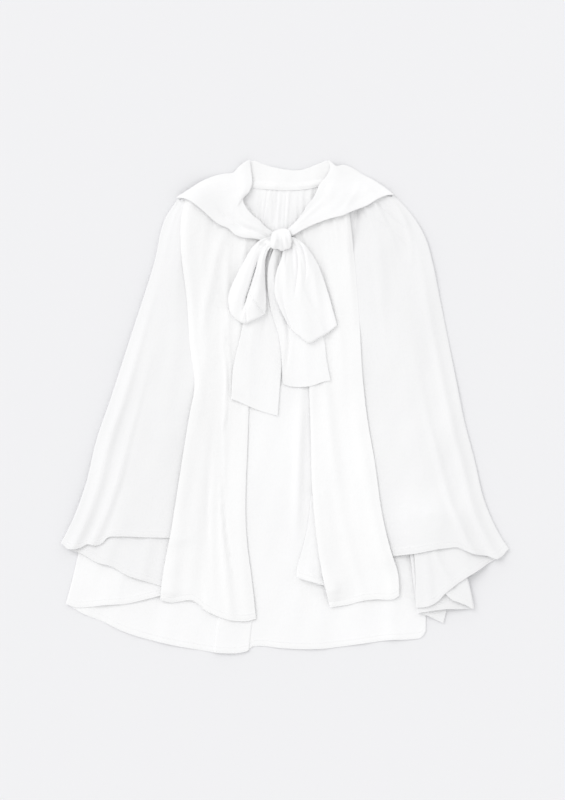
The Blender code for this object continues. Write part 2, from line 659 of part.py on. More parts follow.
lay_loop(
    cape,
    "loop_left",
    (LOOP_LEFT_ROOT, LOOP_LEFT_END, LOOP_LEFT_OUTER, LOOP_LEFT_INNER),
    LOOP_LEFT_HEIGHT, LOOP_LEFT_FOLDS, BRIGHT_CREPE,
)
lay_loop(
    cape,
    "loop_right",
    (LOOP_RIGHT_ROOT, LOOP_RIGHT_END, LOOP_RIGHT_INNER, LOOP_RIGHT_OUTER),
    LOOP_RIGHT_HEIGHT, LOOP_RIGHT_FOLDS, BRIGHT_CREPE,
)
lay_knot(cape, BRIGHT_CREPE)
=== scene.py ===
"""The child's cape as it looks: fine crepe shells in place of the solids, laid in the same order.

Lengths in the tables are millimetres. A point of a table is (across, down): across is X, from the middle of
the cape, and down is measured from the top of the collar towards the hem.
"""

import math

import bpy
import numpy as np
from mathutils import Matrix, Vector


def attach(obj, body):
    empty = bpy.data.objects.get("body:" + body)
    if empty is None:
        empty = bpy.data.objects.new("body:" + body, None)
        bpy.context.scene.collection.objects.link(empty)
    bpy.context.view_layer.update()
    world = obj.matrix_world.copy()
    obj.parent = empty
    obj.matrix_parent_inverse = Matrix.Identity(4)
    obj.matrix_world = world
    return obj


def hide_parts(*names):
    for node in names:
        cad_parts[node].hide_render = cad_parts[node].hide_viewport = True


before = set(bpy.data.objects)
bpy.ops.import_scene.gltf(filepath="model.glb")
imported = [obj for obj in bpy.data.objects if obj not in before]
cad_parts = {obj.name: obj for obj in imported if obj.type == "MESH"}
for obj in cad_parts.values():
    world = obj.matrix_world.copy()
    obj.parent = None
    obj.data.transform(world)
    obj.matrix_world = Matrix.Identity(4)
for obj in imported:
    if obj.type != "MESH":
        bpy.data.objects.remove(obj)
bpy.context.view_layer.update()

MILLIMETRE = 0.001
CAPE_LENGTH = 616.0
SEED = 11

# Thickness of each cloth, the gap between layers, and how the cloth turns over at a fold
CLOTH = 0.7
SCARF = 1.0
STAND = 1.3
REST_GAP = 0.35
FOLD_REACH = 3.0
LEAST_REACH = 0.1
ROLL_STEPS = 8
EDGE_ROUND = 0.7
LEAST_ROUND = 0.1
SETTLE_ROUNDS = 45

# Map of the height of the cloth that has been laid
MAP_HALF = 340.0
MAP_PITCH = 1.0
MAP_DETAIL = 4

# Steps of the grids, and the distances from an edge at which their first lines lie
ACROSS_STEP = 2.4
DOWN_STEP = 3.0
SCARF_STEP = 1.6
LOOP_STEP = 0.65
LEAST_STEP = 0.25
RAW_EDGE = (0.0, 0.3, 0.9, 1.8, 3.2)
FOLD_EDGE = (0.0, 1.2)
HEM_EDGE = (0.0, 0.3, 0.8, 1.3, 1.7, 2.1, 3.0, 4.4, 5.8, 6.7, 7.1, 7.5, 8.2, 9.0, 9.6, 10.6, 12.4)

# Hems, with their stitches and the small waves that the thread pulls into them
HEM_DEPTH = 9.0
HEM_RAISE = 0.25
HEM_STEP = 0.6
HEM_AT_RIM = 0.3
STITCH_LINES = (1.7, 7.1)
STITCH_GROOVE = 0.25
GROOVE_WIDTH = 0.5
STITCH_PITCH = 3.1
STITCH_LENGTH = 2.2
STITCH_RADIUS = 0.22
STITCH_CORNERS = 6
STITCH_AHEAD = 0.5
PUCKER = 0.12
PUCKER_LENGTH = 1.9
PUCKER_SHIFT = 2.2
PUCKER_SHIFT_LENGTH = 17
PUCKER_SWELL_LENGTH = 29
PUCKER_SWELL_START = 0.7
PUCKER_FULL = 1.4
PUCKER_REACH = 1.3

# Rings of a stitch: the place along it as a share of its length, and the ring's size and height in radii
STITCH_RINGS = ((-0.5, 0.35, -0.6), (-0.32, 1.0, 0.1), (0.32, 1.0, 0.1), (0.5, 0.35, -0.6))

# Edges that are sewn down, stand off or lie flatter than the cloth beside them
STAND_OVERLAP = 1.5
SEAM_PRESS = 0.85
SEAM_FLATTEN = 0.8
SEAM_REACH = 7.0
SEAM_END = 0.06
EDGE_CURL_REACH = 14.0
EDGE_REST = 0.55

# Soft form: the loft of folded panels, the fading ends of folds, the small folds and the ripples
SIDE_LOFT = 2.5
SIDE_LOFT_RISE = 3
CASCADE_LOFT = 1.5
VALLEY_POWER = 3
FOLD_FADE = 0.4
SMALL_FOLD_PLACE = (0.1, 0.9)
SMALL_FOLD_START = (-0.3, 0.2)
SMALL_FOLD_END = (-0.25, 0.25)
SMALL_FOLD_DRIFT = 0.06
SMALL_FOLD_SIZE = (0.5, 1.3)
SMALL_FOLD_BEND = 2
RIPPLE_LENGTHS = (34.0, 43.0, 57.0, 71.0, 90.0)
RIPPLE_HEIGHT = 0.65
RIPPLE_TURN = 0.4
RIPPLE_BEND = 6
RIPPLE_BEND_LENGTH = 41

# Gathers at the back's neck, each between two values, and the softness of the pleat at its hem
NECK_GATHERS = 14
GATHER_PLACE = (0.3, 0.7)
GATHER_SPREAD = (0.5, 1.5)
GATHER_START = -0.03
GATHER_END = (0.10, 0.22)
GATHER_WIDTH = (2.2, 3.0)
GATHER_HEIGHT = (1.3, 2.4)
PLEAT_BESIDE = (-4, -3, -2, -1, 0, 1, 2, 3, 4)
PLEAT_SOFTNESS = 1.6
PLEAT_RISE = 0.05

# Bow: the form of its loops and of its knot
LOOP_LEFT_HEIGHT = 6.0
LOOP_RIGHT_HEIGHT = 6.5
LOOP_SIDE_DROOP = 0.8
LOOP_ROOT = 0.05
LOOP_OPEN = 0.84
LOOP_PINCH = 0.14
LOOP_RIPPLE = 0.4
LOOP_MEAN_WIDTH = 0.8
LOOP_SIDE_REACH = 0.15
KNOT_LINES = 61
KNOT_HEIGHT = 3.0
KNOT_EDGE = 0.7
KNOT_SETTLE = 500
KNOT_PLEAT_START = 0.05
KNOT_PLEAT_FADE = 0.5
KNOT_RIM_FADE = 3

# Light, floor and view
WORLD_LIGHT = 0.880
SUN_POWER = 0.7
SUN_WIDTH = 38
LIGHT_FROM = (-0.75, 0.70, 1.0)
FLOOR_SIZE = 20.0
CAMERA_LENS = 108
CAMERA_PLACE = (-0.003125, 0.008, 3.0)

# Back panel, from its right edge to the fold at its left edge
BACK_RIGHT = [(132, 60), (150, 200), (164, 350), (173, 480), (176, 570), (176, 589)]
BACK_LEFT = [(-131, 66), (-163, 172), (-201, 300), (-231, 400), (-258, 490), (-266, 525), (-274, 555)]
BACK_NECK = [(41, 33), (26, 35.5), (7, 37), (-24, 35.5), (-39, 34)]
BACK_TOP = [(113, 50), (76, 38), *BACK_NECK, (-74, 38), (-106, 50)]
BACK_HEM = [
    (170, 597), (158, 599), (132, 600), (94, 605), (44, 611), (-6, 610), (-30, 607.5), (-42, 608.5),
    (-47, 613), (-56, 615.5), (-81, 616), (-106, 612.5), (-156, 603), (-206, 588), (-231, 576),
    (-256, 566),
]

# The back's left edge is folded forward, and this is the edge and hem of that flap
FLAP_EDGE = [(-104, 62), (-110, 300), (-131, 425), (-143, 541)]
FLAP_TOP = [(-118, 62)]
FLAP_HEM = [(-266, 558), (-244, 558), (-226, 556), (-196, 554), (-174, 549), (-158, 545)]

# Side panels, each folded at the cape's outline into a front half and a back half
SIDE_LEFT_FOLD = [
    (-134, 49), (-149, 72), (-163, 127), (-193, 222), (-217, 296), (-236, 352), (-249, 406),
    (-264, 447), (-280, 479),
]
SIDE_LEFT_TOP = [(-118, 46)]
SIDE_LEFT_SEAM = [(-106, 44), (-106, 113), (-99, 200), (-96, 288), (-99, 363), (-112, 425), (-121, 472)]
SIDE_LEFT_FRONT_HEM = [
    (-275, 484), (-266, 485), (-256, 483), (-248, 479), (-238, 481), (-229, 478), (-222, 471), (-208, 470),
    (-181, 471), (-146, 472),
]
SIDE_LEFT_BACK_EDGE = [(-106, 46), (-106, 175), (-112, 300), (-124, 400), (-139, 500), (-143, 537)]
SIDE_LEFT_BACK_HEM = [
    (-159, 531), (-175, 526), (-197, 519), (-219, 507), (-237, 502), (-256, 491), (-272, 485),
]
SIDE_RIGHT_FOLD = [
    (135, 44), (148, 56), (164, 76), (177, 101), (184, 126), (194, 175), (214, 275), (224, 325), (237, 375),
    (249, 425), (259, 450), (272, 474), (280, 486),
]
SIDE_RIGHT_TOP = [(100, 41)]
SIDE_RIGHT_SEAM = [(63, 50), (69, 175), (76, 288), (84, 388), (101, 500)]
SIDE_RIGHT_FRONT_HEM = [
    (274, 493), (267, 497), (252, 493), (242, 492), (233, 490), (223, 486), (214, 483), (204, 484),
    (188, 486), (169, 490), (136, 495),
]
SIDE_RIGHT_BACK_EDGE = [
    (100, 46), (122, 175), (140, 300), (151, 400), (157, 463), (161, 495), (163, 530), (163, 559),
]
SIDE_RIGHT_BACK_HEM = [
    (176, 558), (189, 552), (199, 542), (207, 535), (227, 521), (244, 511), (254, 504), (266, 497),
    (274, 492),
]

# Cascade of folds between the right side panel and the back, from its lowest leg up
CASCADE_START = [(192, 450), (200, 495), (204, 538), (202, 560), (198, 579)]
CASCADE_LEFT = [(150, 450), (155, 488), (159, 519), (162, 544), (165, 566)]
CASCADE_RIGHT = [(212, 450), (221, 495), (227, 519), (232, 538), (236, 560)]
CASCADE_END = [(182, 450), (186, 463), (191, 495), (196, 519), (200, 542)]
CASCADE_LOW_HEM = [(189, 575), (178, 570)]
CASCADE_MIDDLE_HEM = [(184, 563), (202, 561), (219, 561)]
CASCADE_HIGH_HEM = [(228, 556), (219, 553), (208, 549)]

# Front panels, and the edge of the right one that is turned back under it
FRONT_LEFT_OUTER = [
    (-123, 45), (-130, 78), (-130, 106), (-122, 181), (-119, 231), (-113, 285), (-119, 319), (-133, 406),
    (-142, 463), (-152, 515), (-156, 550),
]
FRONT_LEFT_INNER = [
    (-26, 98), (-33, 131), (-39, 188), (-45, 306), (-47, 363), (-49, 413), (-49, 450), (-47, 481),
    (-42, 519), (-36, 573),
]
FRONT_LEFT_TOP = [(-100, 40), (-78, 38), (-56, 50), (-41, 68)]
FRONT_LEFT_HEM = [
    (-143, 553), (-128, 551), (-117, 550), (-108, 555), (-99, 563), (-89, 568), (-76, 573), (-61, 576),
    (-47, 576),
]
FRONT_RIGHT_OUTER = [
    (78, 48), (84, 98), (92, 188), (98, 283), (103, 325), (111, 371), (124, 456), (133, 491),
    (141, 516), (143, 544),
]
FRONT_RIGHT_INNER = [
    (9, 98), (17, 138), (28, 250), (32, 338), (34, 413), (37, 450), (41, 485), (46, 516), (56, 559),
]
FRONT_RIGHT_TOP = [(54, 40), (34, 50), (19, 73)]
FRONT_RIGHT_HEM = [(137, 548), (114, 549), (102, 550), (77, 556)]
TURNBACK_EDGE = [(33, 419), (27, 463), (21, 488), (16, 506), (14, 521)]
TURNBACK_SEAM = [(47, 419), (53, 480), (60, 535)]
TURNBACK_HEM = [(26, 525), (44, 530)]
TURNBACK_TOP = [(40, 419)]

# Scarf collar: the stand behind the neck and the two wings that run to the knot
STAND_TOP = [(-40, 1), (-28, 5), (-15, 9), (0, 12), (23, 12), (34, 8), (44, 4), (53, 1)]
STAND_LEFT = [(-47, 4), (-49, 18), (-49, 33)]
STAND_RIGHT = [(58, 4), (58, 18), (57, 32)]
COLLAR_LEFT_INNER = [
    (-44, 0), (-42, 15), (-41, 30), (-44, 39), (-52, 50), (-49, 59), (-42, 68), (-33, 75), (-24, 84),
    (-10, 94),
]
COLLAR_LEFT_OUTER = [
    (-136, 48), (-127, 49), (-103, 64), (-92, 74), (-81, 82), (-71, 86), (-62, 94), (-51, 98),
    (-38, 99), (-27, 102), (-10, 108),
]
COLLAR_LEFT_BACK = [(-52, 4), (-59, 10), (-65, 16), (-76, 17), (-91, 21), (-106, 28), (-118, 36)]
COLLAR_RIGHT_INNER = [
    (54, 0), (56, 11), (52, 20), (43, 31), (37, 45), (29, 56), (21, 68), (13, 78), (-4, 92),
]
COLLAR_RIGHT_OUTER = [
    (136, 44), (127, 45), (117, 49), (102, 58), (84, 65), (73, 70), (57, 74), (42, 79), (26, 86), (-3, 103),
]
COLLAR_RIGHT_BACK = [(59, 4), (65, 8), (71, 6), (82, 9), (97, 18), (112, 26), (124, 34)]

# Bow: two tails, two loops and the knot
TAIL_LEFT_OUTER = [
    (-17, 104), (-24, 116), (-29, 144), (-41, 181), (-51, 200), (-56, 222), (-60, 238), (-65, 263),
    (-67, 299),
]
TAIL_LEFT_INNER = [(-3, 106), (-5, 144), (-6, 181), (-5, 225), (-4, 260), (-6, 281), (-9, 320)]
TAIL_LEFT_TOP = [(-8, 105)]
TAIL_LEFT_HEM = [(-56, 303), (-43, 309), (-27, 315)]
TAIL_RIGHT_LEFT_SIDE = [
    (-12, 106), (-20.5, 131), (-21.5, 163), (-18.5, 184), (-13, 203), (-8, 220), (-5, 240), (-3, 280),
]
TAIL_RIGHT_RIGHT_SIDE = [(2, 106), (14, 144), (28, 181), (42, 206), (49, 225), (52, 250), (57, 276)]
TAIL_RIGHT_TOP = [(-5, 105)]
TAIL_RIGHT_HEM = [(6, 283), (19, 284), (31, 283), (50, 277)]
LOOP_LEFT_ROOT = [(-17, 97), (-12, 101), (-11, 107)]
LOOP_LEFT_END = [(-70, 187), (-66, 195), (-59, 201), (-50, 205), (-40, 201), (-31, 197), (-24, 192)]
LOOP_LEFT_OUTER = [(-29, 100), (-36, 105), (-44, 115), (-52, 129), (-60, 144), (-66, 156), (-71, 174)]
LOOP_LEFT_INNER = [(-20, 113), (-24, 124), (-25, 140), (-24, 162), (-23, 178)]
LOOP_RIGHT_ROOT = [(-2, 111), (3, 105), (3, 97)]
LOOP_RIGHT_END = [(2, 204), (9, 213), (18, 221), (30, 229), (42, 223), (54, 216), (65, 207)]
LOOP_RIGHT_OUTER = [(12, 98), (22, 104), (32, 116), (40, 129), (47, 146), (53, 164), (58, 181)]
LOOP_RIGHT_INNER = [(-5, 125), (-10, 138), (-13, 155), (-13, 168), (-8, 183)]
KNOT_LEFT = [(-15.5, 90.5), (-17.5, 96), (-18, 103), (-18, 110)]
KNOT_RIGHT = [(5, 88), (7, 93), (8, 100), (8, 108)]
KNOT_TOP = [(-10.5, 88), (-1, 86)]
KNOT_HEM = [(-14.5, 112.8), (-9, 112.6), (-4, 115), (1, 113), (5.5, 111.8)]

# Folds: where each crosses the top and the hem of its panel, as shares of the panel's width, where it
# starts and ends, as shares of the panel's length, and its width, height and sideways bend.
# Gathers are the short folds at the top, and a crease is a fold with a height below zero.
FOLD_COLUMNS = ("at_top", "at_hem", "start", "end", "width", "height", "bend")
BACK_FOLDS = [
    (0.41, 0.37, 0.38, 0.80, 5, 3.3, 0),
    (0.30, 0.30, 0.20, 1.5, 14, 1.2, -4),
    (0.14, 0.10, 0.60, 1.5, 9, 1.6, 3),
    (0.70, 0.72, 0.65, 1.5, 11, 1.4, 0),
]

# Flat pleat at the back's hem: its two sides as shares of the width, where it starts, and its height
BACK_PLEAT = (0.487, 0.585, 0.86, 1.3)

# Folds of the other panels, with the same columns
FRONT_LEFT_FOLDS = [
    (0.06, 0.08, -0.3, 1.5, 7, 1.4, -2),
    (0.57, -0.65, -0.1, 0.45, 5, 2.2, 0),
    (0.50, 0.76, -0.2, 1.5, 4.5, 2.4, -8),
    (0.40, 0.53, 0.35, 1.5, 7, 1.6, 0),
    (0.90, 0.93, -0.1, 1.5, 6, 1.2, 2),
    (0.24, 0.30, 0.4, 1.5, 8, 1.3, 2),
    (0.40, 0.05, -0.3, 0.20, 2.4, 2.2, 0),
    (0.53, -0.04, -0.3, 0.22, 2.4, 2.4, 0),
    (0.31, -0.12, -0.3, 0.17, 2.8, 1.8, 0),
    (0.72, 0.80, -0.3, 0.22, 3.0, 1.6, 0),
]
FRONT_LEFT_CREASES = [
    (0.40, 0.70, 0.20, 0.68, 1.7, -2.2, 0),
    (0.03, 0.88, 0.48, 0.99, 2.2, -1.7, 0),
    (0.02, 0.55, 0.50, 1.30, 3.0, -1.0, 0),
]
FRONT_RIGHT_FOLDS = [
    (0.16, 0.10, 0.30, 1.5, 7, 2.0, 3),
    (0.38, 0.36, -0.3, 0.7, 7, 2.0, -3),
    (0.60, 0.52, -0.3, 1.5, 7, 1.9, 3),
    (0.92, 0.95, -0.3, 1.5, 6, 2.0, 2),
    (0.98, 0.98, 0.55, 1.5, 8, 2.2, 0),
    (0.02, 0.02, 0.75, 1.5, 8, 1.9, 0),
    (0.06, 0.10, -0.3, 0.24, 2.6, 3.0, 0),
    (0.20, 0.46, -0.3, 0.25, 2.8, 2.4, 0),
    (0.33, 0.40, -0.3, 0.18, 2.4, 2.2, 0),
    (0.50, 0.60, -0.3, 0.20, 3.0, 1.8, 0),
    (0.72, 0.70, -0.3, 0.24, 2.6, 2.0, 0),
]
SIDE_LEFT_FOLDS = [
    (0.15, 0.09, 0.1, 1.5, 6, 3.6, 0),
    (0.35, 0.25, 0.4, 1.5, 4.5, 2.6, 1),
    (0.46, 0.46, 0.78, 1.5, 12, 1.9, 0),
    (0.45, 0.75, -0.2, 0.5, 8, 1.5, 3),
    (0.70, 0.58, 0.1, 0.8, 10, 1.1, -3),
    (0.45, 0.20, -0.3, 0.20, 3.0, 1.5, 0),
    (0.75, 0.80, -0.3, 0.22, 3.0, 1.4, 0),
]
SIDE_LEFT_BACK_FOLDS = [
    (0.30, 0.25, 0.3, 1.5, 8, 1.2, 2),
    (0.62, 0.60, 0.4, 1.5, 9, 1.6, -3),
]
SIDE_RIGHT_FOLDS = [
    (0.15, 0.09, 0.1, 1.5, 6, 3.6, 0),
    (0.40, 0.25, 0.4, 1.5, 6, 3.0, 2),
    (0.05, 0.82, -0.05, 0.24, 4, 1.6, 0),
    (0.70, -2.19, -0.03, 0.20, 4, 1.9, 0),
    (0.50, 0.80, 0.0, 0.5, 8, 1.4, 0),
    (0.70, 0.62, 0.1, 0.8, 10, 1.1, 3),
    (0.42, 0.10, -0.3, 0.24, 3.0, 2.2, 0),
    (0.58, 0.35, -0.3, 0.20, 2.6, 2.0, 0),
    (0.80, 0.86, -0.3, 0.18, 2.6, 1.8, 0),
    (0.95, 1.00, -0.3, 0.20, 2.4, 2.2, 0),
]
SIDE_RIGHT_CREASES = [
    (0.68, 1.68, -0.12, 0.19, 4.5, -2.6, 0),
    (0.46, -2.34, -0.01, 0.14, 2.4, -1.4, 0),
]
SIDE_RIGHT_BACK_FOLDS = [
    (0.20, 0.13, 0.4, 1.5, 5, 1.3, 0),
    (-0.97, 0.40, 0.80, 1.08, 5, 2.2, 0),
    (0.70, 0.70, 0.4, 1.5, 9, 1.4, 0),
]
COLLAR_LEFT_FOLDS = [
    (0.10, 0.30, -0.4, 0.5, 8, 2.0, 0),
    (0.46, 0.52, 0.25, 1.5, 4, 2.2, -3),
    (0.80, 0.80, 0.15, 1.5, 4, 1.9, 2),
]
COLLAR_LEFT_CREASES = [
    (0.87, 0.51, 0.20, 0.88, 2.6, -1.6, 0),
    (1.65, 0.31, 0.48, 0.72, 2.4, -1.4, 0),
]
COLLAR_RIGHT_FOLDS = [
    (0.46, 1.40, 0.0, 0.55, 3, 1.2, 0),
    (0.10, 0.30, -0.4, 0.5, 8, 1.8, 0),
    (0.62, 0.55, 0.2, 1.5, 6, 1.7, 3),
]
WING_PINCHES = [
    (0.20, 0.25, 0.70, 1.6, 1.6, -0.9, 0),
    (0.42, 0.45, 0.60, 1.6, 1.5, -1.1, 0),
    (0.66, 0.62, 0.74, 1.6, 1.3, -0.9, 0),
    (0.84, 0.80, 0.66, 1.6, 1.4, -0.9, 0),
]
TAIL_LEFT_FOLDS = [
    (0.30, 0.05, -0.3, 0.24, 2.4, 4.0, 0),
    (0.35, 0.20, -0.2, 0.8, 6, 1.2, 2),
    (0.75, 0.80, -0.3, 0.7, 7, 1.1, -2),
]
TAIL_RIGHT_FOLDS = [
    (0.25, 0.16, -0.2, 1.0, 5, 1.6, 0),
    (0.65, 0.62, -0.2, 0.9, 8, 1.6, 2),
]
TAIL_RIGHT_CREASES = [
    (0.66, 0.01, 0.45, 0.95, 2.4, -2.0, 0),
]
LOOP_LEFT_FOLDS = [
    (0.25, 0.20, -0.3, 1.5, 6, 2.2, 1),
    (0.80, 0.72, -0.3, 1.5, 7, 2.2, 0),
]
LOOP_LEFT_CREASES = [
    (0.29, 0.40, 0.20, 0.95, 1.35, -8.5, 5),
    (0.27, 0.55, 0.70, 1.16, 1.3, -1.5, 0),
    (-0.40, 0.99, 0.58, 1.12, 1.2, -1.8, 0),
    (0.20, 0.40, -0.3, 0.35, 1.3, -1.2, 0),
    (0.85, 0.70, -0.3, 0.30, 1.2, -1.2, 0),
]
LOOP_RIGHT_FOLDS = [
    (0.20, 0.20, -0.3, 0.8, 6, 2.0, 2),
    (0.62, 0.48, -0.3, 0.7, 4, 2.2, 0),
    (0.92, 0.80, -0.3, 0.9, 6, 2.0, -2),
]
LOOP_RIGHT_CREASES = [
    (0.77, 0.11, -0.15, 0.64, 2.0, -2.4, 0),
    (1.02, 0.25, -0.10, 0.52, 1.7, -2.2, 0),
    (0.64, 0.45, 0.10, 0.52, 1.3, -1.0, 0),
    (0.22, 0.18, -0.3, 0.30, 1.5, -1.2, 0),
    (0.27, 0.10, 0.40, 1.25, 2.0, -1.2, 0),
]

# Pleats of the knot: they spread from a point above it, each at an angle from straight down, in degrees
KNOT_PINCH = (-6, 72)
KNOT_COLUMNS = ("angle", "width", "height")
KNOT_PLEATS = [
    (-26, 5, 0.9),
    (-12, 4, 1.5),
    (2, 3, 0.9),
    (12, 4, 1.6),
    (25, 4, 0.8),
]

chance = np.random.default_rng(SEED)


def step_lengths(points, axis=0):
    """The length of each step between neighbouring points."""
    return np.linalg.norm(np.diff(points, axis=axis), axis=-1)


def length_of(points):
    """The length of a table of points."""
    return float(step_lengths(np.asarray(points, float)).sum())


def unit(vectors):
    """The same vectors, each one unit long."""
    return vectors / np.linalg.norm(vectors, axis=-1, keepdims=True)


def chord_shares(points):
    """The share of a table's length at which each of its points lies."""
    travelled = np.pad(np.cumsum(step_lengths(points)), (1, 0))
    return travelled / travelled[-1]


def smooth_curve(points, shares):
    """Points on the smooth curve through a table's points, at the given shares of its length."""
    points = np.asarray(points, float)
    knots = chord_shares(points)
    slopes = np.gradient(points, knots, axis=0)
    shares = np.clip(np.asarray(shares, float), 0.0, 1.0)
    piece = np.clip(np.searchsorted(knots, shares, side="right") - 1, 0, len(knots) - 2)
    span = (knots[piece + 1] - knots[piece])[:, None]
    part = ((shares - knots[piece])[:, None]) / span
    return (
        (2 * part**3 - 3 * part**2 + 1) * points[piece]
        + (part**3 - 2 * part**2 + part) * span * slopes[piece]
        + (3 * part**2 - 2 * part**3) * points[piece + 1]
        + (part**3 - part**2) * span * slopes[piece + 1]
    )


def patch(start, end, top, hem, across, down):
    """A panel's plan, as rows of (across, down) points between its four edges.

    top and hem run from the start edge to the end edge, and hold only the points between the corners.
    """
    top = [start[0], *top, end[0]]
    hem = [start[-1], *hem, end[-1]]
    first, last = smooth_curve(start, down)[:, None], smooth_curve(end, down)[:, None]
    upper, lower = smooth_curve(top, across)[None], smooth_curve(hem, across)[None]
    across, down = across[None, :, None], down[:, None, None]
    corners = (
        (1 - across) * (1 - down) * np.asarray(start[0])
        + across * (1 - down) * np.asarray(end[0])
        + (1 - across) * down * np.asarray(start[-1])
        + across * down * np.asarray(end[-1])
    )
    return (1 - across) * first + across * last + (1 - down) * upper + down * lower - corners


def marks(length, step, first=RAW_EDGE, last=RAW_EDGE):
    """Shares of a length, close together at its two ends and a step apart between them."""
    inner_start, inner_end = first[-1], length - last[-1]
    between = max(2, round((inner_end - inner_start) / step))
    inner = np.linspace(inner_start, inner_end, between + 1)[1:-1]
    return np.concatenate([first, inner, length - np.array(last[::-1])]) / length


def spaced(shares, least):
    """Shares in rising order, without those that lie closer than this to the one before."""
    kept = [0.0]
    for share in np.sort(shares):
        if share - kept[-1] >= least:
            kept.append(float(share))
    kept[-1] = 1.0
    return np.array(kept)


def fade(value):
    """A soft step from 0 to 1."""
    value = np.clip(value, 0.0, 1.0)
    return value * value * (3 - 2 * value)


def fold_heights(plan, across, down, folds):
    """How far each fold of a table lifts each point of a panel, one layer for each fold."""
    widths = np.linalg.norm(plan[:, -1] - plan[:, 0], axis=1)[:, None]
    across, down = across[None, :], down[:, None]
    layers = [np.zeros(plan.shape[:2])]
    for row in folds:
        fold = dict(zip(FOLD_COLUMNS, row))
        middle = fold["at_top"] + (fold["at_hem"] - fold["at_top"]) * down
        bend = fold["bend"] * np.sin(math.pi * np.clip(down, 0, 1))
        beside = ((across - middle) * widths - bend) / fold["width"]
        soft_end = FOLD_FADE * (fold["end"] - fold["start"])
        present = fade((down - fold["start"]) / soft_end) * fade((fold["end"] - down) / soft_end)
        layers.append(fold["height"] * present * np.exp(-beside * beside))
    return np.array(layers)


def small_folds(count, start, end, width, height):
    """A table of narrow folds at uneven places, between two shares of the panel's length."""
    rows = []
    for number in range(count):
        place = (number + chance.uniform(*SMALL_FOLD_PLACE)) / count
        first = chance.uniform(start + SMALL_FOLD_START[0], start + SMALL_FOLD_START[1])
        last = chance.uniform(end + SMALL_FOLD_END[0], end + SMALL_FOLD_END[1])
        drift = chance.uniform(-SMALL_FOLD_DRIFT, SMALL_FOLD_DRIFT)
        size = chance.uniform(*SMALL_FOLD_SIZE)
        bend = chance.uniform(-SMALL_FOLD_BEND, SMALL_FOLD_BEND)
        rows.append((place, place + drift, first, last, width * size, height * size, bend))
    return rows


def lift_of(plan, across, down, folds, fine):
    """Main folds stand side by side, and fine ones ride on them."""
    main = (fold_heights(plan, across, down, folds) ** VALLEY_POWER).sum(axis=0) ** (1 / VALLEY_POWER)
    return main + fold_heights(plan, across, down, fine).sum(axis=0)


def plan_to_floor(plan):
    """Turns (across, down) points into X and Y, with the origin at the middle of the cape."""
    return np.stack([plan[..., 0], CAPE_LENGTH / 2 - plan[..., 1]], axis=-1)


def upward(heights):
    """Heights as steps along the Z axis."""
    return np.stack([np.zeros_like(heights), np.zeros_like(heights), heights], axis=-1)


def highest_nearby(heights):
    """The highest value among each place and its eight neighbours."""
    rows, columns = heights.shape
    wide = np.pad(heights, 1, mode="edge")
    shifts = [(row, column) for row in range(3) for column in range(3)]
    return np.max([wide[row : row + rows, column : column + columns] for row, column in shifts], axis=0)


def settled(needed, rounds=SETTLE_ROUNDS):
    """A soft surface that stays at or above the needed heights."""
    height = needed.copy()
    for _ in range(rounds):
        wide = np.pad(height, 1, mode="edge")
        mean = (wide[:-2, 1:-1] + wide[2:, 1:-1] + wide[1:-1, :-2] + wide[1:-1, 2:]) / 4
        height = np.maximum(needed, mean)
    return height


class Pile:
    """The cloth that has been laid so far, as a map of its height above the floor."""

    def __init__(self, top=None):
        size = int(2 * MAP_HALF / MAP_PITCH)
        self.top = np.zeros((size, size)) if top is None else top.copy()

    def cells(self, points):
        """The map's cell under each point."""
        column = ((points[..., 0] + MAP_HALF) / MAP_PITCH).astype(int)
        row = ((points[..., 1] + MAP_HALF) / MAP_PITCH).astype(int)
        return row, column

    def add(self, grid):
        """Raises the map to a surface, given as a grid of points."""
        fine = grid
        for axis in (0, 1):
            count = fine.shape[axis]
            places = np.linspace(0, count - 1, (count - 1) * MAP_DETAIL + 1)
            first = np.clip(places.astype(int), 0, count - 2)
            part = (places - first).reshape([-1, 1, 1] if axis == 0 else [1, -1, 1])
            fine = np.take(fine, first, axis) * (1 - part) + np.take(fine, first + 1, axis) * part
        np.maximum.at(self.top, self.cells(fine), fine[..., 2])

    def under(self, floor):
        """How high the underside of a sheet has to be at each point of its plan to clear the pile."""
        found = highest_nearby(self.top)[self.cells(floor)]
        return settled(highest_nearby(np.where(found > 0, found + REST_GAP, 0.0)))


def square_to(edge, towards):
    """Unit vectors in the plan, square to an edge and on the side to which the given vectors point."""
    along = np.gradient(edge, axis=0)
    sideways = unit(np.stack([along[:, 1], -along[:, 0]], axis=1))
    return sideways * np.sign(np.sum(sideways * towards, axis=1, keepdims=True))


def drawn_in(plan, across, at_end, reach=FOLD_REACH):
    """Draws a plan's first or last column in, to leave room for the round of a fold."""
    edge, inside = (plan[:, -1], plan[:, -2]) if at_end else (plan[:, 0], plan[:, 1])
    inward = square_to(edge, inside - edge)
    share = across if at_end else 1 - across
    return plan + inward[:, None] * (np.reshape(reach, (-1, 1)) * share[None, :] ** 2)[..., None]


def lay_leg(pile, plan, thickness, lift=0.0):
    """Lays one stretch of cloth on the pile and returns its middle surface, in rows of points."""
    floor = plan_to_floor(plan)
    height = pile.under(floor) + thickness / 2 + lift
    return np.concatenate([floor, height[..., None]], axis=-1)


def roll(lower, upper, thickness, reach=FOLD_REACH):
    """The columns of points that turn over from the end of the lower leg to the start of the upper one."""
    edge = (lower[:, -1] + upper[:, 0]) / 2
    outward = np.pad(square_to(edge[:, :2], (lower[:, -1] - lower[:, -2])[:, :2]), ((0, 0), (0, 1)))
    rise = (upper[:, 0, 2] - lower[:, -1, 2]) / 2
    turns = [math.pi * (step + 1) / (ROLL_STEPS + 1) for step in range(ROLL_STEPS)]
    out = np.maximum(np.reshape(reach, (-1, 1)) - thickness / 2, LEAST_REACH)
    columns = [edge + outward * out * math.sin(turn) - upward(rise * math.cos(turn)) for turn in turns]
    return np.stack(columns, axis=1)


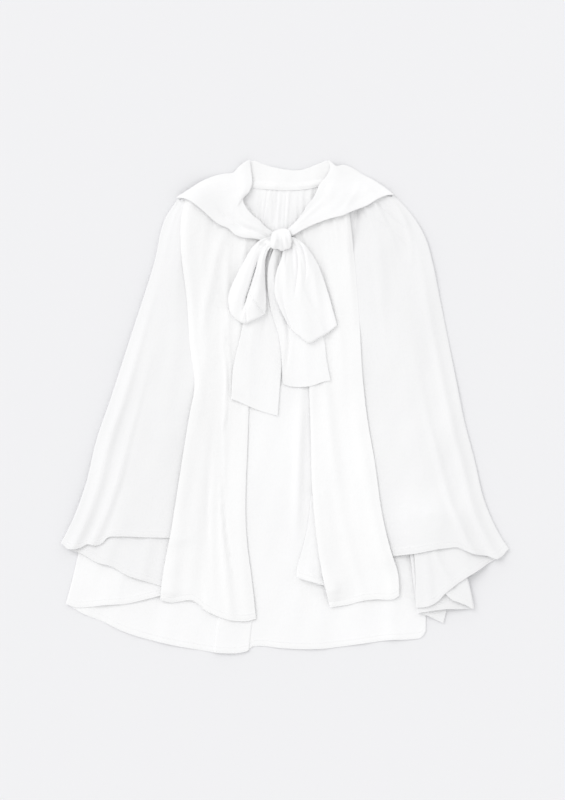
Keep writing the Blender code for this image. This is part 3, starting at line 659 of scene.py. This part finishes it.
def distances(middle):
    """How far each point of a grid lies from each of the grid's sides, measured along the cloth."""
    from_start = np.pad(np.cumsum(step_lengths(middle, axis=1), axis=1), ((0, 0), (1, 0)))
    from_top = np.pad(np.cumsum(step_lengths(middle), axis=0), ((1, 0), (0, 0)))
    return {
        "start": from_start,
        "end": from_start[:, -1:] - from_start,
        "top": from_top,
        "hem": from_top[-1:] - from_top,
    }


def half_thickness(middle, thickness, hems):
    """Half the wall's thickness at each point: rounded at the rim, and thicker in a stitched hem."""
    far = distances(middle)
    rim = np.min(list(far.values()), axis=0)
    rounding = np.clip(rim / EDGE_ROUND, 0.0, 1.0)
    half = thickness / 2 * np.sqrt(np.clip(1 - (1 - rounding) ** 2, LEAST_ROUND, 1.0))
    for side in hems:
        band = HEM_RAISE * fade(HEM_DEPTH + HEM_STEP - far[side])
        grooves = sum(np.exp(-(((far[side] - line) / GROOVE_WIDTH) ** 2)) for line in STITCH_LINES)
        half = half + (band - STITCH_GROOVE * grooves) * np.clip(rounding, HEM_AT_RIM, 1.0)
    return half


def build_mesh(name, points, faces, material):
    """A mesh object from points in millimetres."""
    mesh = bpy.data.meshes.new(name)
    mesh.from_pydata((points * MILLIMETRE).tolist(), [], faces)
    mesh.update()
    mesh.materials.append(material)
    mesh.shade_smooth()
    thing = bpy.data.objects.new(name, mesh)
    bpy.context.scene.collection.objects.link(thing)
    return thing


def wall(name, outer, inner, material):
    """A closed shell between two grids of points, with the outer one on the side of its normals."""
    rows, columns = outer.shape[:2]
    near = np.arange(rows * columns).reshape(rows, columns)
    back = near + rows * columns
    sides = [
        (near[:-1, :-1], near[1:, :-1], near[1:, 1:], near[:-1, 1:]),
        (back[:-1, :-1], back[:-1, 1:], back[1:, 1:], back[1:, :-1]),
        (near[0, :-1], near[0, 1:], back[0, 1:], back[0, :-1]),
        (near[-1, 1:], near[-1, :-1], back[-1, :-1], back[-1, 1:]),
        (near[1:, 0], near[:-1, 0], back[:-1, 0], back[1:, 0]),
        (near[:-1, -1], near[1:, -1], back[1:, -1], back[:-1, -1]),
    ]
    faces = np.concatenate([np.stack(side, axis=-1).reshape(-1, 4) for side in sides]).tolist()
    points = np.concatenate([outer.reshape(-1, 3), inner.reshape(-1, 3)])
    return build_mesh(name, points, faces, material)


def turned(grid, side):
    """A grid with one of its sides as the last row."""
    if side in ("start", "end"):
        grid = np.swapaxes(grid, 0, 1)
    return grid[::-1] if side in ("start", "top") else grid


def sampled(wanted, known, vectors):
    """Vectors at the wanted distances, read between those at the known ones."""
    return np.stack([np.interp(wanted, known, vectors[:, axis]) for axis in range(3)], axis=-1)


def seam_line(surface, normals, side, line):
    """Places and normals along a line of stitches, at a given distance from a side."""
    surface, normals = turned(surface, side)[::-1], turned(normals, side)[::-1]
    far = np.pad(np.cumsum(step_lengths(surface), axis=0), ((1, 0), (0, 0)))
    columns = range(surface.shape[1])
    places = [sampled(line, far[:, column], surface[:, column]) for column in columns]
    facing = [sampled(line, far[:, column], normals[:, column]) for column in columns]
    return np.array(places), np.array(facing)


def stitches(places, facing):
    """Points and faces of a row of stitches, each a short rounded bar."""
    along = np.pad(np.cumsum(step_lengths(places)), (1, 0))
    starts = np.arange(STITCH_PITCH, along[-1] - STITCH_PITCH, STITCH_PITCH)
    centre = sampled(starts, along, places)
    normal = sampled(starts, along, facing)
    tangent = unit(sampled(starts + STITCH_AHEAD, along, places) - centre)
    side = unit(np.cross(normal, tangent))
    points = []
    for share, size, height in STITCH_RINGS:
        for corner in range(STITCH_CORNERS):
            turn = 2 * math.pi * corner / STITCH_CORNERS
            sideways = math.cos(turn) * size * STITCH_RADIUS
            up = (math.sin(turn) * size + height) * STITCH_RADIUS
            points.append(centre + tangent * share * STITCH_LENGTH + side * sideways + normal * up)
    points = np.stack(points, axis=1)
    between_rings = len(STITCH_RINGS) - 1
    faces = []
    for number in range(len(points)):
        base = number * STITCH_CORNERS * len(STITCH_RINGS)
        for ring in range(between_rings):
            first = base + ring * STITCH_CORNERS
            second = first + STITCH_CORNERS
            for corner in range(STITCH_CORNERS):
                after = (corner + 1) % STITCH_CORNERS
                faces.append((first + corner, second + corner, second + after, first + after))
        last = base + STITCH_CORNERS * between_rings
        faces.append(tuple(base + corner for corner in range(STITCH_CORNERS)))
        faces.append(tuple(last + corner for corner in reversed(range(STITCH_CORNERS))))
    return points.reshape(-1, 3), faces


def hem_thread(name, sides_of_cloth, hems):
    """Two rows of stitches along each hem, on both faces of the cloth, as one piece."""
    points, faces, offset = [], [], 0
    for surface, normals in sides_of_cloth:
        for hem in hems:
            for line in STITCH_LINES:
                row_points, row_faces = stitches(*seam_line(surface, normals, hem, line))
                points.append(row_points)
                faces += [tuple(offset + corner for corner in face) for face in row_faces]
                offset += len(row_points)
    points = np.concatenate(points)
    points[:, 2] = np.maximum(points[:, 2], 0.0)
    thing = build_mesh(name, points, faces, white_thread)
    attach(thing, "root")
    return thing


def finish_sheet(pile, name, node, middle, thickness, material, hems):
    """Makes the closed shell of a laid sheet, adds it to the pile and works out its width, length and area.
    """
    normals = unit(np.cross(np.gradient(middle, axis=0), np.gradient(middle, axis=1)))
    half = half_thickness(middle, thickness, hems)[..., None]
    outer, inner = middle + normals * half, middle - normals * half
    for face in (outer, inner):
        face[..., 2] = np.maximum(face[..., 2], 0.0)
        pile.add(face)
    thing = wall(name, outer, inner, material)
    if hems:
        hem_thread(node + "_stitches", [(outer, normals), (inner, -normals)], hems)
    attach(thing, "root")
    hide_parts(node)
    far = distances(middle)
    width = far["start"][:, -1].max() * MILLIMETRE
    length = far["top"][-1].max() * MILLIMETRE
    cells = np.cross(middle[1:, :-1] - middle[:-1, :-1], middle[:-1, 1:] - middle[:-1, :-1])
    area = float(np.linalg.norm(cells, axis=2).sum()) * MILLIMETRE**2
    area = min(area, width * length)


def ripples(floor, height):
    """Soft uneven waves that laid cloth keeps, never below zero."""
    waves = np.zeros(floor.shape[:2])
    for length in RIPPLE_LENGTHS:
        turn = chance.uniform(-RIPPLE_TURN, RIPPLE_TURN)
        phase = chance.uniform(0, 2 * math.pi)
        along = floor[..., 0] * math.cos(turn) + floor[..., 1] * math.sin(turn)
        beside = floor[..., 1] * math.cos(turn) - floor[..., 0] * math.sin(turn)
        bent = along + RIPPLE_BEND * np.sin(beside / RIPPLE_BEND_LENGTH + phase)
        waves += np.sin(2 * math.pi * bent / length + phase) * length / RIPPLE_LENGTHS[0]
    return height * (waves - waves.min()) / len(RIPPLE_LENGTHS)


def puckers(middle, hems):
    """The small waves that the thread pulls into a hem."""
    far = distances(middle)
    lift = np.zeros(middle.shape[:2])
    for side in hems:
        along = far["top" if side in ("start", "end") else "start"]
        wave = np.sin(along / PUCKER_LENGTH + PUCKER_SHIFT * np.sin(along / PUCKER_SHIFT_LENGTH))
        swell = np.sin(along / PUCKER_SWELL_LENGTH + PUCKER_SWELL_START)
        lift += PUCKER * (1 + wave * swell) * fade(PUCKER_FULL - far[side] / (PUCKER_REACH * HEM_DEPTH))
    return lift


def lay_legs(pile, legs, rows, thickness):
    """The middle surface of a sheet that is folded between its legs, each laid on the one before.

    A leg is its four edges, its columns, its folds and its fine folds, and how far it is lifted besides.
    """
    resting = Pile(pile.top)
    parts = []
    for number, (edges, columns, folds, fine, extra) in enumerate(legs):
        plan = patch(*edges, columns, rows)
        if number > 0:
            plan = drawn_in(plan, columns, at_end=False)
        if number < len(legs) - 1:
            plan = drawn_in(plan, columns, at_end=True)
        lift = lift_of(plan, columns, rows, folds, fine) + ripples(plan_to_floor(plan), RIPPLE_HEIGHT)
        leg = lay_leg(resting, plan, thickness, lift + extra)
        if parts:
            parts.append(roll(parts[-1], leg, thickness))
        parts.append(leg)
        resting.add(leg + [0, 0, thickness / 2])
    return np.concatenate(parts, axis=1)


def columns_of(edges, first=RAW_EDGE, last=RAW_EDGE, step=ACROSS_STEP):
    """Columns of a panel, by the width that it has halfway down."""
    start, end = smooth_curve(edges[0], [0.5])[0], smooth_curve(edges[1], [0.5])[0]
    return marks(float(np.linalg.norm(end - start)), step, first, last)


def rows_of(edges, last=HEM_EDGE, step=DOWN_STEP):
    """Rows of a panel, by the length of its first edge."""
    return marks(length_of(edges[0]), step, RAW_EDGE, last)


def lay_back(pile, material):
    """The gathered back panel, with its left edge folded forward over it."""
    edges = (BACK_RIGHT, BACK_LEFT, BACK_TOP, BACK_HEM)
    flap = (BACK_LEFT, FLAP_EDGE, FLAP_TOP, FLAP_HEM)
    rows = rows_of(edges)
    along = chord_shares(np.array([BACK_RIGHT[0], *BACK_TOP, BACK_LEFT[0]], float))
    first = along[1 + BACK_TOP.index(BACK_NECK[0])]
    last = along[1 + BACK_TOP.index(BACK_NECK[-1])]
    gathers = []
    for number in range(NECK_GATHERS):
        place = first + (last - first) * (number + chance.uniform(*GATHER_PLACE)) / NECK_GATHERS
        away = place + (place - (first + last) / 2) * chance.uniform(*GATHER_SPREAD)
        end = chance.uniform(*GATHER_END)
        width = chance.uniform(*GATHER_WIDTH)
        height = chance.uniform(*GATHER_HEIGHT)
        gathers.append((place, away, GATHER_START, end, width, height, 0))
    columns = columns_of(edges, last=FOLD_EDGE)
    fine = np.linspace(first, last, int((last - first) * length_of(BACK_TOP) / SCARF_STEP))
    columns = np.concatenate([columns[columns < first], fine, columns[columns > last]])
    width = length_of(BACK_HEM)
    beside = np.array(PLEAT_BESIDE) / width
    pleat_from, pleat_to, pleat_start, pleat_height = BACK_PLEAT
    columns = spaced(np.concatenate([columns, pleat_from + beside, pleat_to + beside]), LEAST_STEP / width)
    pleat = fade((columns - pleat_from) * width / PLEAT_SOFTNESS)
    pleat = pleat * fade((pleat_to - columns) * width / PLEAT_SOFTNESS)
    pleat = pleat_height * pleat[None, :] * fade((rows - pleat_start) / PLEAT_RISE)[:, None]
    flap_folds = small_folds(count=3, start=0.2, end=1.4, width=6, height=0.8)
    legs = [
        (edges, columns, BACK_FOLDS + gathers, [], pleat),
        (flap, columns_of(flap, first=FOLD_EDGE), (), flap_folds, 0.0),
    ]
    middle = lay_legs(pile, legs, rows, CLOTH)
    finish_sheet(pile, "back_cloth", "back", middle, CLOTH, material, ("hem",))


def lay_side(pile, name, material, back_half, back_folds, front_half, folds, creases):
    """A side panel, folded at the outline into a back half and a front half."""
    rows = rows_of(front_half)
    columns = columns_of(front_half, first=FOLD_EDGE)
    ends = (fade(SIDE_LOFT_RISE * rows) * fade(SIDE_LOFT_RISE * (1 - rows)))[:, None]
    loft = SIDE_LOFT * np.sin(math.pi * columns)[None, :] * ends
    fine = creases + small_folds(count=4, start=-0.3, end=0.3, width=4, height=0.6)
    legs = [
        (back_half, columns_of(back_half, last=FOLD_EDGE), back_folds, (), 0.0),
        (front_half, columns, folds, fine, loft),
    ]
    middle = lay_legs(pile, legs, rows, CLOTH)
    finish_sheet(pile, name + "_cloth", name, middle, CLOTH, material, ("hem",))


def lay_cascade(pile, material):
    """The folds of cloth that hang between the right side panel and the back."""
    stretches = [
        (CASCADE_START, CASCADE_LEFT, CASCADE_LOW_HEM, RAW_EDGE, FOLD_EDGE),
        (CASCADE_LEFT, CASCADE_RIGHT, CASCADE_MIDDLE_HEM, FOLD_EDGE, FOLD_EDGE),
        (CASCADE_RIGHT, CASCADE_END, CASCADE_HIGH_HEM, FOLD_EDGE, RAW_EDGE),
    ]
    legs = []
    for start, end, hem, first, last in stretches:
        edges = (start, end, [], hem)
        legs.append((edges, columns_of(edges, first, last), (), (), CASCADE_LOFT))
    rows = rows_of((CASCADE_START,))
    middle = lay_legs(pile, legs, rows, CLOTH)
    finish_sheet(pile, "cascade_cloth", "side_right_cascade", middle, CLOTH, material, ("hem",))


def lay_flat(
    pile, name, edges, thickness, step, material, fine, folds=(), hems=(), sewn=(), curls=()
):
    """A stretch of cloth without a turned edge, which lies flatter beside its end and its hem.

    curls is the sides that stand off, each with its height. sewn is the sides that are sewn down on the
    panel beneath, each with the shares of its length between which it is.
    """
    last = HEM_EDGE if "hem" in hems else RAW_EDGE
    across, down = columns_of(edges, step=step), rows_of(edges, last, step * DOWN_STEP / ACROSS_STEP)
    plan = patch(*edges, across, down)
    far = distances(plan)
    lift = lift_of(plan, across, down, folds, fine) + ripples(plan_to_floor(plan), RIPPLE_HEIGHT)
    lift *= 1 - EDGE_REST * fade(1 - np.minimum(far["end"], far["hem"]) / EDGE_CURL_REACH)
    middle = lay_leg(pile, plan, thickness, lift)
    middle[..., 2] += puckers(middle, hems)
    for side, first, last in sewn:
        along = down[:, None] if side in ("start", "end") else across[None, :]
        present = fade((along - first) / SEAM_END) * fade((last - along) / SEAM_END)
        middle[..., 2] -= fade(1 - far[side] / SEAM_REACH) * present * (SEAM_PRESS + SEAM_FLATTEN * lift)
    for side, height in curls:
        middle[..., 2] += height * fade(1 - far[side] / EDGE_CURL_REACH)
    finish_sheet(pile, name + "_cloth", name, middle, thickness, material, hems)


def lay_loop(pile, name, edges, material, height, folds, creases):
    """A bow loop: the scarf runs out from the knot, turns over at the loop's end and comes back."""
    middle_length = np.linalg.norm(np.mean(edges[1], axis=0) - np.mean(edges[0], axis=0))
    columns = marks(float(middle_length), LOOP_STEP, RAW_EDGE, FOLD_EDGE)
    rows = marks(length_of(edges[1]) * LOOP_MEAN_WIDTH, LOOP_STEP)
    reach = FOLD_REACH * (LOOP_SIDE_REACH + (1 - LOOP_SIDE_REACH) * np.sin(math.pi * rows))
    plan = drawn_in(patch(*edges, columns, rows), columns, at_end=True, reach=reach)
    lower = lay_leg(pile, plan, SCARF)
    arch = height * np.sin(math.pi * (LOOP_ROOT + (LOOP_OPEN - LOOP_ROOT) * columns))[None, :]
    bulge = (1 - LOOP_SIDE_DROOP * (2 * rows - 1) ** 2)[:, None]
    fine = creases + small_folds(count=4, start=-0.3, end=0.6, width=2, height=0.5)
    creased = lift_of(plan.swapaxes(0, 1), rows, columns, folds, fine).T
    shape = np.maximum(arch * bulge + creased * fade(columns / LOOP_PINCH)[None, :], 0.0)
    lift = SCARF + 2 * REST_GAP + shape + ripples(plan_to_floor(plan), LOOP_RIPPLE)
    upper = (lower + upward(lift))[:, ::-1]
    middle = np.concatenate([lower, roll(lower, upper, SCARF, reach), upper], axis=1)
    finish_sheet(pile, name + "_cloth", name, middle, SCARF, material, ())


def lay_knot(pile, material):
    """The knot: the scarf's bundle over the ends of the wings, loops and tails, pleated where it wraps."""
    lines = np.linspace(0, 1, KNOT_LINES)
    plan = patch(KNOT_LEFT, KNOT_RIGHT, KNOT_TOP, KNOT_HEM, lines, lines)
    floor = plan_to_floor(plan)
    under = pile.under(floor)
    across, down = 2 * lines[None, :] - 1, 2 * lines[:, None] - 1
    rise = np.where(down > 0, np.clip(1 - down**2, 0, 1) ** 0.5, fade(down + 1))
    dome = np.clip(1 - across**2, 0, 1) ** 0.5 * rise
    away = plan - np.array(KNOT_PINCH)
    angle = np.degrees(np.arctan2(away[..., 0], away[..., 1]))
    pleats = np.zeros(angle.shape)
    for row in KNOT_PLEATS:
        pleat = dict(zip(KNOT_COLUMNS, row))
        beside = (angle - pleat["angle"]) / pleat["width"]
        pleats = np.maximum(pleats, pleat["height"] * np.exp(-beside * beside))
    spread = fade((lines[:, None] - KNOT_PLEAT_START) / KNOT_PLEAT_FADE)
    bundle = settled(under, KNOT_SETTLE) + KNOT_EDGE + KNOT_HEIGHT * dome
    bundle = bundle + pleats * spread * fade(KNOT_RIM_FADE * dome)
    upper = np.concatenate([floor, bundle[..., None]], axis=-1)
    lower = np.concatenate([floor, under[..., None]], axis=-1)
    thing = wall("knot_cloth", upper, lower, material)
    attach(thing, "root")
    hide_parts("knot")


def matt(name, roughness, specular):
    """A new matt material, with its nodes, its links and its shader."""
    material = bpy.data.materials.new(name)
    material.use_nodes = True
    nodes, links = material.node_tree.nodes, material.node_tree.links
    shader = nodes["Principled BSDF"]
    shader.inputs["Roughness"].default_value = roughness
    shader.inputs["Specular IOR Level"].default_value = specular
    return material, nodes, links, shader


def noise(nodes, links, place, **values):
    """A noise texture on the piece's own coordinates, with the given values for its inputs."""
    texture = nodes.new("ShaderNodeTexNoise")
    for name, value in values.items():
        texture.inputs[name.capitalize()].default_value = value
    links.new(place.outputs["Object"], texture.inputs["Vector"])
    return texture


def uneven_tone(nodes, links, shader, texture, colour, darkest, low=0.0, high=1.0):
    """Lets the colour vary with a texture, down to a share of its brightness."""
    ramp = nodes.new("ShaderNodeValToRGB")
    dark, light = ramp.color_ramp.elements[0], ramp.color_ramp.elements[1]
    dark.position = low
    dark.color = (*[darkest * value for value in colour], 1)
    light.position = high
    light.color = (*colour, 1)
    links.new(texture.outputs["Fac"], ramp.inputs["Fac"])
    links.new(ramp.outputs["Color"], shader.inputs["Base Color"])


def relief(nodes, links, texture, strength, distance):
    """A fine relief that follows a texture."""
    bump = nodes.new("ShaderNodeBump")
    bump.inputs["Strength"].default_value = strength
    bump.inputs["Distance"].default_value = distance
    links.new(texture.outputs["Fac"], bump.inputs["Height"])
    return bump


def crepe(name, colour, weave=1.0):
    """White polyester crepe: a matt cloth with a fine pebbled weave and faint unevenness of tone."""
    material, nodes, links, shader = matt(name, roughness=0.82, specular=0.25)
    shader.inputs["Sheen Weight"].default_value = 0.12
    shader.inputs["Sheen Roughness"].default_value = 0.4
    place = nodes.new("ShaderNodeTexCoord")
    tone = noise(nodes, links, place, scale=9.0, detail=4.0)
    uneven_tone(nodes, links, shader, tone, colour, darkest=0.972, low=0.3, high=0.7)
    pebble = noise(nodes, links, place, scale=950.0, detail=2.0)
    crumple = noise(nodes, links, place, scale=55.0, detail=5.0, roughness=0.55, distortion=0.6)
    pebbled = relief(nodes, links, pebble, strength=0.5 * weave, distance=0.0003)
    crumpled = relief(nodes, links, crumple, strength=0.35, distance=0.0015)
    links.new(pebbled.outputs["Normal"], crumpled.inputs["Normal"])
    links.new(crumpled.outputs["Normal"], shader.inputs["Normal"])
    return material


def plain(name, colour, roughness):
    """A plain matt material with a faint unevenness, for the thread and the table under the cape."""
    material, nodes, links, shader = matt(name, roughness, specular=0.2)
    place = nodes.new("ShaderNodeTexCoord")
    tone = noise(nodes, links, place, scale=3.0)
    uneven_tone(nodes, links, shader, tone, colour, darkest=0.995)
    return material


front_crepe = crepe("front_crepe", (0.955, 0.955, 0.957))
scarf_crepe = crepe("scarf_crepe", (0.950, 0.950, 0.954), weave=1.2)
# painted shade: the side panels and the cascade take the fronts' crepe made darker, for the greyer look
# they have beside the fronts
shaded_side_crepe = crepe("shaded_side_crepe", (0.905, 0.905, 0.911))
back_crepe = crepe("back_crepe", (0.950, 0.950, 0.955))
white_thread = plain("white_thread", (0.93, 0.93, 0.93), roughness=0.6)
table_white = plain("table_white", (0.860, 0.860, 0.875), roughness=0.9)

pile = Pile()
lay_back(pile, back_crepe)
lay_side(
    pile,
    "side_left",
    shaded_side_crepe,
    back_half=(SIDE_LEFT_BACK_EDGE, SIDE_LEFT_FOLD, [], SIDE_LEFT_BACK_HEM),
    back_folds=SIDE_LEFT_BACK_FOLDS,
    front_half=(SIDE_LEFT_FOLD, SIDE_LEFT_SEAM, SIDE_LEFT_TOP, SIDE_LEFT_FRONT_HEM),
    folds=SIDE_LEFT_FOLDS,
    creases=[],
)
lay_cascade(pile, shaded_side_crepe)
lay_side(
    pile,
    "side_right",
    shaded_side_crepe,
    back_half=(SIDE_RIGHT_BACK_EDGE, SIDE_RIGHT_FOLD, [], SIDE_RIGHT_BACK_HEM),
    back_folds=SIDE_RIGHT_BACK_FOLDS,
    front_half=(SIDE_RIGHT_FOLD, SIDE_RIGHT_SEAM, SIDE_RIGHT_TOP, SIDE_RIGHT_FRONT_HEM),
    folds=SIDE_RIGHT_FOLDS,
    creases=SIDE_RIGHT_CREASES,
)
lay_flat(
    pile,
    "front_left",
    (FRONT_LEFT_OUTER, FRONT_LEFT_INNER, FRONT_LEFT_TOP, FRONT_LEFT_HEM),
    CLOTH,
    ACROSS_STEP,
    front_crepe,
    folds=FRONT_LEFT_FOLDS,
    fine=FRONT_LEFT_CREASES + small_folds(count=6, start=-0.3, end=0.3, width=4, height=0.6),
    hems=("hem",),
    sewn=(("start", -0.1, 0.5),),
    curls=(("hem", 0.2),),
)
lay_flat(
    pile,
    "front_right_turnback",
    (TURNBACK_EDGE, TURNBACK_SEAM, TURNBACK_TOP, TURNBACK_HEM),
    CLOTH,
    ACROSS_STEP,
    back_crepe,
    fine=small_folds(count=2, start=0.2, end=1.4, width=5, height=0.5),
    hems=("hem",),
    curls=(("hem", 4.5),),
)
lay_flat(
    pile,
    "front_right",
    (FRONT_RIGHT_OUTER, FRONT_RIGHT_INNER, FRONT_RIGHT_TOP, FRONT_RIGHT_HEM),
    CLOTH,
    ACROSS_STEP,
    front_crepe,
    folds=FRONT_RIGHT_FOLDS,
    fine=small_folds(count=6, start=-0.3, end=0.3, width=4, height=0.6),
    hems=("hem",),
    sewn=(("start", 0.08, 0.36),),
    curls=(("end", 0.3), ("hem", 0.2)),
)
stand_foot = [(across, down + STAND_OVERLAP) for across, down in reversed(BACK_NECK)]
lay_flat(
    pile,
    "collar_stand",
    (STAND_LEFT, STAND_RIGHT, STAND_TOP, stand_foot),
    STAND,
    SCARF_STEP,
    front_crepe,
    fine=small_folds(count=5, start=-0.3, end=1.5, width=5, height=0.3),
    hems=("hem",),
    sewn=(("hem", -0.1, 1.1),),
)
lay_flat(
    pile,
    "collar_left",
    (COLLAR_LEFT_INNER, COLLAR_LEFT_OUTER, COLLAR_LEFT_BACK, ()),
    SCARF,
    SCARF_STEP,
    scarf_crepe,
    folds=COLLAR_LEFT_FOLDS,
    fine=COLLAR_LEFT_CREASES
    + WING_PINCHES
    + small_folds(count=3, start=0.2, end=1.4, width=3, height=0.6),
    curls=(("end", 1.8),),
)
lay_flat(
    pile,
    "collar_right",
    (COLLAR_RIGHT_INNER, COLLAR_RIGHT_OUTER, COLLAR_RIGHT_BACK, ()),
    SCARF,
    SCARF_STEP,
    scarf_crepe,
    folds=COLLAR_RIGHT_FOLDS,
    fine=WING_PINCHES + small_folds(count=3, start=0.2, end=1.4, width=3, height=0.6),
    curls=(("end", 2.2),),
)
lay_flat(
    pile,
    "tail_left",
    (TAIL_LEFT_OUTER, TAIL_LEFT_INNER, TAIL_LEFT_TOP, TAIL_LEFT_HEM),
    SCARF,
    SCARF_STEP,
    scarf_crepe,
    folds=TAIL_LEFT_FOLDS,
    fine=small_folds(count=4, start=-0.3, end=0.5, width=3, height=0.7),
)
lay_flat(
    pile,
    "tail_right",
    (TAIL_RIGHT_LEFT_SIDE, TAIL_RIGHT_RIGHT_SIDE, TAIL_RIGHT_TOP, TAIL_RIGHT_HEM),
    SCARF,
    SCARF_STEP,
    scarf_crepe,
    folds=TAIL_RIGHT_FOLDS,
    fine=TAIL_RIGHT_CREASES + small_folds(count=4, start=-0.3, end=0.6, width=3, height=0.7),
)
lay_loop(
    pile,
    "loop_left",
    (LOOP_LEFT_ROOT, LOOP_LEFT_END, LOOP_LEFT_OUTER, LOOP_LEFT_INNER),
    scarf_crepe,
    height=LOOP_LEFT_HEIGHT,
    folds=LOOP_LEFT_FOLDS,
    creases=LOOP_LEFT_CREASES,
)
lay_loop(
    pile,
    "loop_right",
    (LOOP_RIGHT_ROOT, LOOP_RIGHT_END, LOOP_RIGHT_INNER, LOOP_RIGHT_OUTER),
    scarf_crepe,
    height=LOOP_RIGHT_HEIGHT,
    folds=LOOP_RIGHT_FOLDS,
    creases=LOOP_RIGHT_CREASES,
)
lay_knot(pile, scarf_crepe)

bpy.ops.mesh.primitive_plane_add(size=FLOOR_SIZE, location=(0, 0, 0))
floor = bpy.context.object
floor.name = "floor"
floor.data.materials.append(table_white)

scene = bpy.context.scene
world = bpy.data.worlds.new("studio")
scene.world = world
world.use_nodes = True
background = world.node_tree.nodes["Background"]
background.inputs["Color"].default_value = (1, 1, 1, 1)
background.inputs["Strength"].default_value = WORLD_LIGHT

key_data = bpy.data.lights.new("key", "SUN")
key_data.energy = SUN_POWER
key_data.angle = math.radians(SUN_WIDTH)
key = bpy.data.objects.new("key", key_data)
key.rotation_euler = Vector(LIGHT_FROM).to_track_quat("Z", "Y").to_euler()
scene.collection.objects.link(key)

camera_data = bpy.data.cameras.new("camera")
camera_data.lens = CAMERA_LENS
camera = bpy.data.objects.new("camera", camera_data)
camera.location = CAMERA_PLACE
scene.collection.objects.link(camera)
scene.camera = camera
scene.view_settings.view_transform = "Standard"
scene.view_settings.look = "None"
